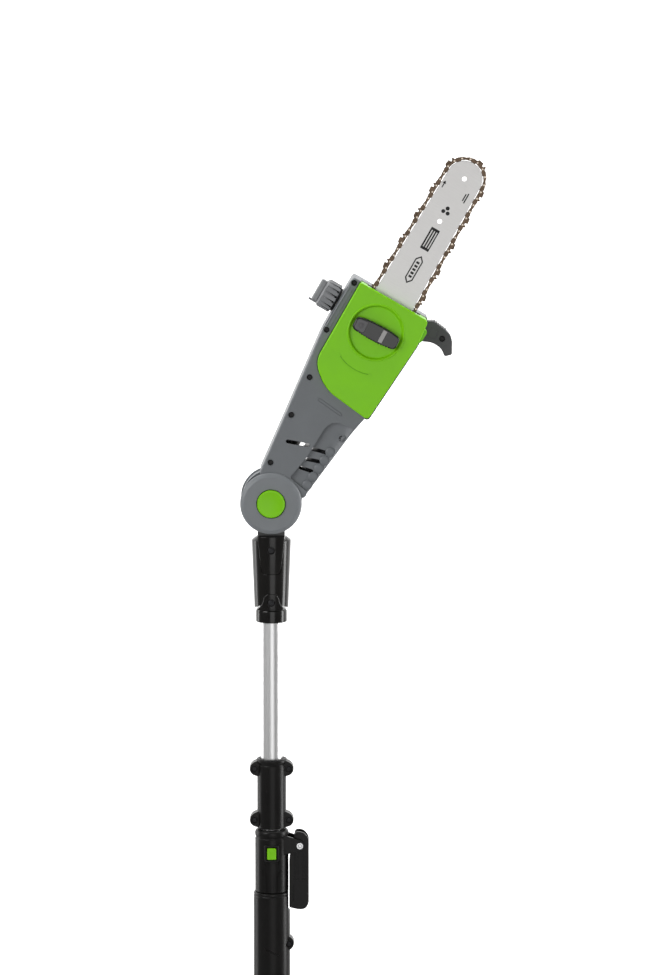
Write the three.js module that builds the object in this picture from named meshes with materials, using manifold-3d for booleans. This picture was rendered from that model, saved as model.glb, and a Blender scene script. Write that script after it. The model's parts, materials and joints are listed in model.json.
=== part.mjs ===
// Telescoping pole saw: a battery-powered chain saw head on a two-stage telescoping pole.
// Millimetres, +Z up. The origin is the centre of the flat butt end of the rear handle and the pole runs
// along +Z. The saw head's cover and knob face -Y, and the head leans toward +X on its pivot.
import * as THREE from "three";
import { mergeVertices } from "three/addons/utils/BufferGeometryUtils.js";
import Module from "manifold-3d";

// ---- driving dimensions ----
const GAP = 0.3; // clearance kept between pieces that touch
const PIVOT_Z = 1480; // height of the head's tilt pivot
const HEAD_LEAN = 30; // degrees that the head leans from the pole's line

const TUBE_R = 14.25; // telescoping aluminium tube
const TUBE_WALL = 1.4;
const OUTER_TUBE_WALL = 1.6;
const OUTER_TUBE_R = TUBE_R + OUTER_TUBE_WALL + 1.35; // outer pole tube, with room for the slide bush
const EXTENSION = 550; // how far the pole still extends from here
const TUBE_OVERLAP = 132; // tube left below the sleeve's mouth at full extension

const SCREW_HEAD_R = 4;
const SCREW_SHANK_R = 1.7;

const KNUCKLE_R = 40;
const CHEEK_R = 38;
const NECK_DISC_R = 33;
const NECK_HALF = 17.6; // half of the neck's width
const BUTTON_R = 18;
const BUTTON_TRAVEL = 4;
const BOLT_R = 3.8;

const BAR_V = 5.7; // the bar's centre line, beside the pivot's
const BAR_Y = -20; // the bar's middle plane
const BAR_THICK = 4.8;
const BAR_LENGTH = 203; // from the cover's edge to the tip
const BAR_HALF = 28.2;
const NOSE_R = 23.4;
const SPROCKET_R = 17;
const SPROCKET_U = 213; // sprocket spindle's place along the head
const COVER_TOP_U = 308;
const STUD_U = 261;
const STUD_R = 4;
const CHAIN_PITCH = 19.05; // like links of a 3/8 inch low-profile chain
const CHAIN_HEIGHT = 5.2; // side links above the bar's rail
const CHAIN_THICK = 4.4;
const CUTTER_HEIGHT = 2.6;
const CHAIN_SLACK = 2; // chain stands off the drive sprocket by this much

const SHELL_FRONT_Y = -30; // housing shells, split at y = 0
const SHELL_BACK_Y = 34;
const SHELL_WALL = 2.6;
const COVER_FACE_Y = -40;
const BAR_PAD_Y = -13; // flat face that the bar lies over
const COVER_WALL = 2.4;

const MOTOR_R = 23;
const MOTOR_LENGTH = 64;
const PINION_R = 8.5;
const GEAR_R = 25.5;

const HANDLE_TOP_Z = 330;
const GRIP_HALF_X = 19;
const GRIP_HALF_Y = 18;
const BAY_HEIGHT = 122; // battery housing at the butt
const BAY_HALF_X = 42;
const BAY_HALF_Y = 37;
const HANDLE_WALL = 3;
const BATTERY_HEIGHT = 104;

// ---- closed solids from three.js shapes ----
const wasm = await Module();
wasm.setup();
const rad = THREE.MathUtils.degToRad;

// A solid that can be joined and cut. A profile that runs the other way round is turned outward.
function solid(geometry) {
  const bare = geometry.index ? geometry.toNonIndexed() : geometry.clone();
  bare.deleteAttribute("normal");
  bare.deleteAttribute("uv");
  const merged = mergeVertices(bare, 1e-3);
  const faces = new Uint32Array(merged.index.array);
  const make = () =>
    new wasm.Manifold(
      new wasm.Mesh({ numProp: 3, vertProperties: merged.attributes.position.array, triVerts: faces }),
    );
  const made = make();
  if (made.volume() >= 0) return made;
  for (let i = 0; i < faces.length; i += 3) [faces[i + 1], faces[i + 2]] = [faces[i + 2], faces[i + 1]];
  return make();
}

function block([x0, x1], [y0, y1], [z0, z1]) {
  const box = new THREE.BoxGeometry(x1 - x0, y1 - y0, z1 - z0);
  return solid(box.translate((x0 + x1) / 2, (y0 + y1) / 2, (z0 + z1) / 2));
}

// Cylinders and cones along an axis: "from" and "to" along it, and the centre across it.
function rodZ(radius, [from, to], [x, y] = [0, 0], sides = 16, topRadius = radius) {
  const rod = new THREE.CylinderGeometry(topRadius, radius, to - from, sides).rotateX(Math.PI / 2);
  return solid(rod.translate(x, y, (from + to) / 2));
}

function rodY(radius, [from, to], [x, z] = [0, 0], sides = 16, backRadius = radius) {
  const rod = new THREE.CylinderGeometry(backRadius, radius, to - from, sides);
  return solid(rod.translate(x, (from + to) / 2, z));
}

function rodX(radius, [from, to], [y, z] = [0, 0], sides = 16, endRadius = radius) {
  const rod = new THREE.CylinderGeometry(endRadius, radius, to - from, sides).rotateZ(-Math.PI / 2);
  return solid(rod.translate((from + to) / 2, y, z));
}

// A turned body about Z from [radius, height] points that begin and end on the axis.
function turned(points, sides = 24) {
  const profile = points.map(([r, z]) => new THREE.Vector2(r, z));
  return solid(new THREE.LatheGeometry(profile, sides).rotateX(Math.PI / 2));
}

function ringZ(outer, inner, [from, to], sides = 24) {
  return rodZ(outer, [from, to], [0, 0], sides).subtract(rodZ(inner, [from - 1, to + 1], [0, 0], sides));
}

// An outline in the XZ plane from [x, z, corner radius] points. A corner is never rounder than its edges allow.
function outline(points) {
  const shape = new THREE.Shape();
  const at = (i) => points[(i + points.length) % points.length];
  points.forEach(([x, z, r = 0], i) => {
    const corner = new THREE.Vector2(x, z);
    const before = new THREE.Vector2(at(i - 1)[0], at(i - 1)[1]).sub(corner);
    const after = new THREE.Vector2(at(i + 1)[0], at(i + 1)[1]).sub(corner);
    const reach = Math.min(r, 0.48 * before.length(), 0.48 * after.length());
    before.setLength(reach).add(corner);
    after.setLength(reach).add(corner);
    if (i === 0) shape.moveTo(before.x, before.y);
    else shape.lineTo(before.x, before.y);
    if (reach > 0) shape.quadraticCurveTo(x, z, after.x, after.y);
  });
  shape.closePath();
  return shape;
}

// An outline given a thickness along Y, made wider by grow and with its front and back edges chamfered.
function slab(shape, [front, back], { grow = 0, chamfer = 0, curve = 2 } = {}) {
  const geometry = new THREE.ExtrudeGeometry(shape, {
    depth: back - front - 2 * chamfer,
    curveSegments: curve,
    bevelEnabled: grow !== 0 || chamfer > 0,
    bevelSegments: chamfer > 0 ? 1 : 0,
    bevelThickness: chamfer,
    bevelSize: chamfer > 0 ? chamfer : grow,
    bevelOffset: chamfer > 0 ? grow - chamfer : 0,
  });
  return solid(geometry.rotateX(Math.PI / 2).translate(0, back - chamfer, 0));
}

// The outline of a belt drawn round circles [z, r] that stand in a line at x.
function belt(x, circles) {
  const lean = circles.slice(1).map(([z, r], i) => Math.asin((circles[i][1] - r) / (z - circles[i][0])));
  const from = [-Math.PI / 2, ...lean];
  const to = [...lean, Math.PI / 2];
  const shape = new THREE.Shape();
  circles.forEach(([z, r], i) => shape.absarc(x, z, r, from[i], to[i], false));
  [...circles.keys()].reverse().forEach((i) => {
    const [z, r] = circles[i];
    shape.absarc(x, z, r, Math.PI - to[i], Math.PI - from[i], false);
  });
  return shape;
}

const root = new THREE.Group();

// A named piece in a group, with a material of its own.
function piece(group, name, shape, { color, roughness = 0.6, metalness = 0 }) {
  const mesh = shape.getMesh();
  const geometry = new THREE.BufferGeometry();
  geometry.setAttribute("position", new THREE.BufferAttribute(new Float32Array(mesh.vertProperties), 3));
  geometry.setIndex(new THREE.BufferAttribute(new Uint32Array(mesh.triVerts), 1));
  const made = new THREE.Mesh(geometry, new THREE.MeshStandardMaterial({ color, roughness, metalness }));
  made.name = name;
  group.add(made);
}

const GREY = { color: 0x80868c, roughness: 0.5 };
const DARK_GREY = { color: 0x555a60, roughness: 0.55 };
const BLACK = { color: 0x131416, roughness: 0.45 };
const GREEN = { color: 0x7ed321, roughness: 0.35 };
const STEEL = { color: 0xb9bcbf, roughness: 0.3, metalness: 1 };
const SCREW_BLACK = { color: 0x26272a, roughness: 0.45, metalness: 0.6 };
const TERMINAL_GREY = { color: 0x2a2c30, roughness: 0.5 };
const DARK_STEEL = { color: 0x4a3f35, roughness: 0.4, metalness: 0.9 };
const ALUMINIUM = { color: 0xd7d9dc, roughness: 0.35, metalness: 0.9 };
const RUBBER = { color: 0x17181a, roughness: 0.8 };

// ---- screws ----
// A pan-head screw along Y with a cross recess: head at the front, its seat at seatY.
const SCREW_HEAD = 2.4;
function screw(seatY, length, [x, z]) {
  const head = rodY(SCREW_HEAD_R, [seatY - SCREW_HEAD, seatY - 0.01], [x, z], 10);
  const shank = rodY(SCREW_SHANK_R, [seatY - 0.5, seatY + length], [x, z], 10);
  const recess = block([x - 2.4, x + 2.4], [seatY - 3, seatY - 1.4], [z - 0.5, z + 0.5]);
  const across = block([x - 0.5, x + 0.5], [seatY - 3, seatY - 1.4], [z - 2.4, z + 2.4]);
  return head.add(shank).subtract(recess).subtract(across);
}

// The stepped hole that such a screw sits in, open at the front.
function screwHole(frontY, seatY, depth, [x, z]) {
  const counterbore = rodY(SCREW_HEAD_R + 0.5, [frontY - 1, seatY + GAP], [x, z], 10);
  return counterbore.add(rodY(SCREW_SHANK_R + GAP, [seatY, seatY + depth + 1], [x, z], 10));
}

// ================= pole =================
const pole = new THREE.Group();
root.add(pole);

// Places along the pole, measured from the pivot.
const COLLAR_TOP = PIVOT_Z - 142.5;
const COLLAR_BOTTOM = PIVOT_Z - 159.5;
const SLEEVE_MOUTH = PIVOT_Z - 341;
const SLEEVE_BOTTOM = PIVOT_Z - 434;
const COUPLER_BOTTOM = PIVOT_Z - 519;
const GRIP_BOTTOM = PIVOT_Z - 760;
const NECK_TOP_SLEEVE = PIVOT_Z - 47;
const TONGUE_END = PIVOT_Z - 97;
const TUBE_TOP = PIVOT_Z - 102;
const TUBE_BOTTOM = SLEEVE_MOUTH - EXTENSION - TUBE_OVERLAP;
const OUTER_TUBE_TOP = SLEEVE_BOTTOM - 36;
const OUTER_TUBE_BOTTOM = HANDLE_TOP_Z - 60;

// ---- neck: two halves that hold the head's pivot and the tube's upper end ----
const NECK_DEPTH = 13.4; // half of the neck disc's thickness, between the head's cheeks
const TONGUE_Y = 24; // the tongue stands proud of the sleeve
const KEY_R = 14;
const KEY_RECESS = 9; // depth of the neck's recess for the lock key and its spring
const neckOutline = outline([
  [-NECK_HALF, PIVOT_Z - 10],
  [NECK_HALF, PIVOT_Z - 10],
  [NECK_HALF, PIVOT_Z - 50],
  [12, TONGUE_END + 3, 5],
  [-12, TONGUE_END + 3, 5],
  [-NECK_HALF, PIVOT_Z - 50],
]);
const neckScrew = [0, PIVOT_Z - 63];
const collarScrew = [0, PIVOT_Z - 132];
function neckHalf(side) {
  const [front, back] = side < 0 ? [-TONGUE_Y, -GAP / 2] : [GAP / 2, TONGUE_Y];
  const discSpan = side < 0 ? [-NECK_DEPTH, -GAP / 2] : [GAP / 2, NECK_DEPTH];
  const disc = rodY(NECK_DISC_R, discSpan, [0, PIVOT_Z], 32);
  const stemClear = block([-40, 40], side < 0 ? [-40, -NECK_DEPTH] : [NECK_DEPTH, 40], [PIVOT_Z - 45, PIVOT_Z]);
  const stem = slab(neckOutline, [front, back], { chamfer: 1.2 }).subtract(stemClear);
  const plug = rodZ(TUBE_R - TUBE_WALL - GAP, [TUBE_TOP - 18, TONGUE_END + 4], [0, 0], 16);
  const half = block([-60, 60], side < 0 ? [-60, -GAP / 2] : [GAP / 2, 60], [0, 2 * PIVOT_Z]);
  let made = disc.add(stem).add(plug.intersect(half));
  made = made.subtract(rodY(BOLT_R + GAP, [-60, 60], [0, PIVOT_Z], 12));
  made = made.subtract(screwHole(-TONGUE_Y, -TONGUE_Y + 4, TONGUE_Y + 12, neckScrew));
  if (side < 0) made = made.subtract(rodY(KEY_R + 0.8, [-60, -NECK_DEPTH + KEY_RECESS], [0, PIVOT_Z], 16));
  return made;
}
piece(pole, "neck_front", neckHalf(-1), BLACK);
piece(pole, "neck_rear", neckHalf(1), BLACK);
piece(pole, "neck_screw", screw(-TONGUE_Y + 4, TONGUE_Y + 10, neckScrew), SCREW_BLACK);

// ---- tapered sleeve that clamps the neck to the tube, with a window for the tongue ----
const SLEEVE_TOP_R = 25.6;
const SLEEVE_LOW_R = 22;
const COLLAR_R = 20.3;
function neckSleeve() {
  const body = turned([
    [0, COLLAR_TOP],
    [SLEEVE_LOW_R, COLLAR_TOP],
    [SLEEVE_TOP_R, NECK_TOP_SLEEVE - 5],
    [SLEEVE_TOP_R - 6, NECK_TOP_SLEEVE],
    [0, NECK_TOP_SLEEVE],
  ]);
  const window = slab(neckOutline, [-60, 60], { grow: GAP });
  const plugBore = rodZ(TUBE_R - TUBE_WALL, [TUBE_TOP - 1, TONGUE_END + 6], [0, 0], 16);
  const bore = rodZ(TUBE_R + GAP, [COLLAR_TOP - 1, TUBE_TOP + GAP], [0, 0], 24).add(plugBore);
  const arch = outline([
    [-11, COLLAR_TOP - 5],
    [11, COLLAR_TOP - 5],
    [11, PIVOT_Z - 120, 9],
    [-11, PIVOT_Z - 120, 9],
  ]);
  const archPad = slab(arch, [-TONGUE_Y, 0], { chamfer: 1 }).subtract(bore);
  const belowCollar = block([-60, 60], [-60, 60], [COLLAR_TOP - 40, COLLAR_TOP]);
  return body
    .add(archPad)
    .subtract(belowCollar)
    .subtract(window)
    .subtract(bore)
    .subtract(screwHole(-TONGUE_Y, -TONGUE_Y + 3, 5, collarScrew));
}
piece(pole, "neck_sleeve", neckSleeve(), BLACK);
piece(pole, "sleeve_screw", screw(-TONGUE_Y + 3, 5, collarScrew), SCREW_BLACK);
piece(pole, "tube_collar", ringZ(COLLAR_R, TUBE_R + GAP, [COLLAR_BOTTOM, COLLAR_TOP - GAP]), BLACK);

// ---- telescoping tube and the outer tube ----
piece(pole, "inner_tube", ringZ(TUBE_R, TUBE_R - TUBE_WALL, [TUBE_BOTTOM, TUBE_TOP], 24), ALUMINIUM);
const SLIDE_BUSH_R = OUTER_TUBE_R - OUTER_TUBE_WALL - GAP;
const bushSpan = [TUBE_BOTTOM - 12, TUBE_BOTTOM - GAP];
const bushPlug = rodZ(TUBE_R - TUBE_WALL - GAP, [TUBE_BOTTOM - 12, TUBE_BOTTOM + 14], [0, 0], 24);
const leadHole = rodZ(9.5, [TUBE_BOTTOM - 20, TUBE_BOTTOM + 20], [0, 0], 16);
piece(pole, "tube_bush", rodZ(SLIDE_BUSH_R, bushSpan, [0, 0], 24).add(bushPlug).subtract(leadHole), RUBBER);
piece(
  pole,
  "outer_tube",
  ringZ(OUTER_TUBE_R, OUTER_TUBE_R - OUTER_TUBE_WALL, [OUTER_TUBE_BOTTOM, OUTER_TUBE_TOP], 24),
  BLACK,
);

// The lead is coiled inside the tubes, so that it stretches with the pole. Its solid is the coil's envelope.
const LEAD_R = 8.4;
const LEAD_BOTTOM = OUTER_TUBE_BOTTOM + 6;
const leadSpan = [LEAD_BOTTOM, TUBE_TOP - 24];
const leadCore = rodZ(LEAD_R - 3.6, [LEAD_BOTTOM - 1, TUBE_TOP], [0, 0], 8);
piece(pole, "coiled_lead", rodZ(LEAD_R, leadSpan, [0, 0], 8).subtract(leadCore), RUBBER);

// ---- guide sleeve: two halves with four screw ears ----
const EAR_X = 22.7;
const EAR_HALF = 8.6;
const earHeights = [PIVOT_Z - 354.6, PIVOT_Z - 423.3];
const SLEEVE_R = 19;
const EAR_Y = 9;
function guideSleeveHalf(side) {
  const body = turned([
    [0, SLEEVE_BOTTOM + GAP],
    [SLEEVE_R, SLEEVE_BOTTOM + GAP],
    [SLEEVE_R, SLEEVE_MOUTH - 12],
    [SLEEVE_R + 1.4, SLEEVE_MOUTH - 8],
    [SLEEVE_R + 1.4, SLEEVE_MOUTH - 1.5],
    [SLEEVE_R - 0.2, SLEEVE_MOUTH],
    [0, SLEEVE_MOUTH],
  ]);
  const bore = rodZ(TUBE_R + GAP, [SLEEVE_BOTTOM - 1, SLEEVE_MOUTH + 1], [0, 0], 24);
  const half = block([-60, 60], side < 0 ? [-60, -GAP / 2] : [GAP / 2, 60], [0, 2 * PIVOT_Z]);
  let ears = body;
  for (const z of earHeights) {
    const lug = outline([
      [-EAR_X - 6.2, z - EAR_HALF, 5],
      [EAR_X + 6.2, z - EAR_HALF, 5],
      [EAR_X + 6.2, z + EAR_HALF, 5],
      [-EAR_X - 6.2, z + EAR_HALF, 5],
    ]);
    ears = ears.add(slab(lug, [-EAR_Y, EAR_Y], { chamfer: 1 }));
  }
  let made = ears.intersect(half).subtract(bore);
  for (const z of earHeights)
    for (const x of [-EAR_X, EAR_X]) made = made.subtract(screwHole(-EAR_Y, -EAR_Y + 3, 2 * EAR_Y, [x, z]));
  return made;
}
piece(pole, "guide_sleeve_front", guideSleeveHalf(-1), BLACK);
piece(pole, "guide_sleeve_rear", guideSleeveHalf(1), BLACK);
["upper", "lower"].forEach((level, row) =>
  ["left", "right"].forEach((side, column) => {
    const place = [column ? EAR_X : -EAR_X, earHeights[row]];
    piece(pole, `guide_screw_${level}_${side}`, screw(-EAR_Y + 3, 2 * EAR_Y - 5, place), SCREW_BLACK);
  }),
);

// ---- coupler: holds the outer tube's end, the release button and the lock lever ----
const COUPLER_R = OUTER_TUBE_R + 4.7;
const LEVER_PIN = [37, PIVOT_Z - 456];
const LEVER_HALF_Y = 11;
const RELEASE_Z = PIVOT_Z - 465;
const RELEASE_HALF = [5.85, 7.5];
const RELEASE_TRAVEL = 2.4;
const RELEASE_FRAME = 2.5; // the button's frame stands this far off the coupler
const LUG_THICK = 4;
const PIN_R = 2.2;
const LEVER_INNER_X = COUPLER_R + 1.2;
const LEVER_SWEEP_R = 19.6; // room round the pin for the lever's upper end
const SHOE_HALF_Y = 6;
const SHOE_END_X = LEVER_INNER_X + 2;
const BUTTON_ROOM = 0.4;
function coupler() {
  const body = turned([
    [0, COUPLER_BOTTOM + GAP],
    [COUPLER_R, COUPLER_BOTTOM + GAP],
    [COUPLER_R, SLEEVE_BOTTOM - 4],
    [COUPLER_R - 2.5, SLEEVE_BOTTOM - 1],
    [0, SLEEVE_BOTTOM - 1],
  ]);
  const upperBore = rodZ(TUBE_R + GAP, [OUTER_TUBE_TOP - 1, SLEEVE_BOTTOM + 1], [0, 0], 24);
  const lowerBore = rodZ(OUTER_TUBE_R + GAP, [COUPLER_BOTTOM - 1, OUTER_TUBE_TOP + GAP], [0, 0], 24);
  const lugs = [-1, 1].map((side) => {
    const near = side * (LEVER_HALF_Y + GAP);
    const far = side * (LEVER_HALF_Y + GAP + LUG_THICK);
    const shape = outline([
      [10, LEVER_PIN[1] - 14],
      [LEVER_PIN[0] + 5, LEVER_PIN[1] - 6, 5],
      [LEVER_PIN[0] + 5, LEVER_PIN[1] + 6, 5],
      [10, LEVER_PIN[1] + 16],
    ]);
    return slab(shape, [Math.min(near, far), Math.max(near, far)]);
  });
  const [halfX, halfZ] = RELEASE_HALF;
  const around = (rim, depths) =>
    block([-halfX - rim, halfX + rim], depths, [RELEASE_Z - halfZ - rim, RELEASE_Z + halfZ + rim]);
  const pocket = around(BUTTON_ROOM, [-60, 0]);
  const frameEdge = around(3, [-COUPLER_R - RELEASE_FRAME, -5]);
  const shoeSlot = block([5, 60], [-6.4, 6.4], [LEVER_PIN[1] - 8.4, LEVER_PIN[1] + 8.4]);
  const leverRoom = rodY(LEVER_SWEEP_R, [-LEVER_HALF_Y - GAP, LEVER_HALF_Y + GAP], LEVER_PIN, 24);
  return body
    .add(frameEdge)
    .add(lugs[0])
    .add(lugs[1])
    .subtract(pocket)
    .subtract(shoeSlot)
    .subtract(leverRoom)
    .subtract(upperBore)
    .subtract(lowerBore)
    .subtract(rodY(PIN_R + GAP, [-60, 60], LEVER_PIN, 10));
}
piece(pole, "coupler", coupler(), BLACK);
const releaseX = [-RELEASE_HALF[0], RELEASE_HALF[0]];
const releaseZ = [RELEASE_Z - RELEASE_HALF[1], RELEASE_Z + RELEASE_HALF[1]];
const releaseY = [-COUPLER_R - RELEASE_FRAME + 0.4, -OUTER_TUBE_R - GAP - RELEASE_TRAVEL - GAP];
piece(pole, "release_button", block(releaseX, releaseY, releaseZ), GREEN);

// The lever swings out from its pin and lifts the cam shoe off the tube.
const LEVER_BOTTOM = PIVOT_Z - 543;
const LEVER_TOP = PIVOT_Z - 438;
const LEVER_OUTER_X = 48;
function lever() {
  const shape = outline([
    [LEVER_INNER_X, LEVER_BOTTOM + 4, 5],
    [LEVER_INNER_X + 12, LEVER_BOTTOM, 4],
    [LEVER_OUTER_X - 3, LEVER_BOTTOM + 3, 6],
    [LEVER_OUTER_X, LEVER_BOTTOM + 30, 8],
    [LEVER_OUTER_X, LEVER_TOP - 10, 8],
    [LEVER_OUTER_X - 9, LEVER_TOP, 5],
    [LEVER_INNER_X + 8, LEVER_TOP, 4],
    [LEVER_INNER_X + 4, LEVER_PIN[1] - 8, 6],
    [LEVER_INNER_X, LEVER_PIN[1] - 22, 3],
  ]);
  let made = slab(shape, [-LEVER_HALF_Y, LEVER_HALF_Y], { chamfer: 1.2 });
  for (const y of [-7, 0, 7]) {
    const groove = block([LEVER_OUTER_X - 3, LEVER_OUTER_X + 1], [y - 1, y + 1], [LEVER_BOTTOM + 34, LEVER_TOP - 26]);
    made = made.subtract(groove);
  }
  const forkHalf = SHOE_HALF_Y + 1;
  const fork = block([0, LEVER_OUTER_X - 4], [-forkHalf, forkHalf], [LEVER_PIN[1] - 24, LEVER_TOP + 1]);
  const forkMouth = block([LEVER_PIN[0], LEVER_OUTER_X + 1], [-forkHalf, forkHalf], [LEVER_PIN[1] + 5, LEVER_TOP + 1]);
  const camR = LEVER_PIN[0] - SHOE_END_X - GAP;
  made = made.subtract(fork).subtract(forkMouth).add(rodY(camR, [-forkHalf - 1, forkHalf + 1], LEVER_PIN, 20));
  return made.subtract(rodY(PIN_R + GAP, [-60, 60], LEVER_PIN, 10));
}
piece(pole, "lock_lever", lever(), BLACK);
const pinReach = LEVER_HALF_Y + GAP + LUG_THICK + 1;
piece(pole, "lever_pin", rodY(PIN_R, [-pinReach, pinReach], LEVER_PIN, 10), STEEL);
const shoeSpan = [TUBE_R + GAP, SHOE_END_X];
const shoeBlock = block(shoeSpan, [-SHOE_HALF_Y, SHOE_HALF_Y], [LEVER_PIN[1] - 8, LEVER_PIN[1] + 8]);
piece(pole, "cam_shoe", shoeBlock, RUBBER);

// ---- fore grip: two halves on the outer tube, with screw ears down the right side ----
const GRIP_R = OUTER_TUBE_R + 6.8;
const GRIP_EAR_X = 22.9;
const gripEars = [PIVOT_Z - 589, PIVOT_Z - 668, PIVOT_Z - 742];
function gripHalf(side) {
  const body = turned([
    [0, GRIP_BOTTOM],
    [GRIP_R - 3, GRIP_BOTTOM],
    [GRIP_R, GRIP_BOTTOM + 4],
    [GRIP_R, COUPLER_BOTTOM - 4],
    [GRIP_R - 2.1, COUPLER_BOTTOM],
    [0, COUPLER_BOTTOM],
  ]);
  const half = block([-60, 60], side < 0 ? [-60, -GAP / 2] : [GAP / 2, 60], [0, 2 * PIVOT_Z]);
  let made = body;
  for (const z of gripEars) made = made.add(rodY(6.2, [-EAR_Y, EAR_Y], [GRIP_EAR_X, z], 12));
  made = made.intersect(half).subtract(rodZ(OUTER_TUBE_R + GAP, [0, 2 * PIVOT_Z], [0, 0], 24));
  for (const z of gripEars) made = made.subtract(screwHole(-EAR_Y, -EAR_Y + 3, 2 * EAR_Y, [GRIP_EAR_X, z]));
  const leverDepth = [-LEVER_HALF_Y - 1, LEVER_HALF_Y + 1];
  const leverRoom = block([LEVER_INNER_X - 1.2, 60], leverDepth, [LEVER_BOTTOM - 2, 2 * PIVOT_Z]);
  return made.subtract(leverRoom);
}
piece(pole, "fore_grip_front", gripHalf(-1), BLACK);
piece(pole, "fore_grip_rear", gripHalf(1), BLACK);

// ================= saw head =================
// Inside this group z runs along the head from the pivot, x across it and y through it.
const head = new THREE.Group();
head.position.z = PIVOT_Z;
head.rotation.y = rad(HEAD_LEAN);
root.add(head);

const housingOutline = outline([
  [-32.7, 24.8],
  [32.9, 24.8],
  [39.9, 89.7, 20],
  [46.8, 147.3, 14],
  [57, 182, 12],
  [57, COVER_TOP_U, 7],
  [-54.6, COVER_TOP_U, 7],
  [-55.8, 228, 8],
  [-47.4, 160, 14],
]);
const coverOutline = outline([
  [-43.8, COVER_TOP_U - 0.6, 6],
  [-43, 196, 10],
  [-37, 184, 8],
  [-13.4, 164.8, 12],
  [53, 157.3, 9],
  [60.5, 275, 8],
  [56.8, COVER_TOP_U - 0.6, 6],
]);
const shellScrews = [
  [-50, 301.7],
  [-50.7, 231.6],
  [-38.8, 167.3],
  [-34.8, 113.2],
  [-27.2, 46],
  [26.4, 46],
  [36.4, 119.1],
];
const SCREW_SEAT_Y = SHELL_FRONT_Y + 5;
const SCREW_LENGTH = 36;
const SCREW_COLUMN_R = 6;
const CAVITY_U = 44; // the shells are solid below this, round the knuckle
const TOP_PAD_WALL = 2.6;
const spindle = [BAR_V, SPROCKET_U];
const stud = [BAR_V, STUD_U];
const SPINDLE_R = 6;
const MOTOR_AXIS_Y = 2;
const motorSpan = [CAVITY_U + 16, CAVITY_U + 16 + MOTOR_LENGTH];

// ---- cooling vents, the finger scoop and the slit, on both sides of the housing ----
function bandOutline([x0, z0], [x1, z1], width, round = 0) {
  const along = new THREE.Vector2(x1 - x0, z1 - z0);
  const side = new THREE.Vector2(-along.y, along.x).setLength(width / 2);
  const corners = [
    [x0 - side.x, z0 - side.y, round],
    [x1 - side.x, z1 - side.y, round],
    [x1 + side.x, z1 + side.y, round],
    [x0 + side.x, z0 + side.y, round],
  ];
  return outline(corners);
}

function slot(from, to, width, span) {
  return slab(bandOutline(from, to, width), span);
}
const VENT_WIDTH = 5;
const vents = [
  [[-21.6, 81], [-9.5, 85.2]],
  [[-6.5, 86.4], [3.2, 89.8]],
  [[12.9, 88.5], [31.2, 93.1]],
  [[12, 73], [27.2, 78]],
  [[10.3, 59.2], [24.3, 62.1]],
];
const scoop = outline([
  [19.9, 38.5, 2],
  [4.3, 41.7, 2],
  [10, 75.6, 6],
  [11.3, 123.8, 4],
  [20, 135, 3],
  [70, 138],
  [70, 30],
]);
const SCOOP_DEPTH = 1.3;

// ---- oil filler, on the left side near the top ----
const FILLER = { y: 8, z: 268.5, neck: 12, seal: 16, cap: 19.5 };
const FILLER_WALL_X = -55.6;
const CAP_TURN_GAP = 0.4;

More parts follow.
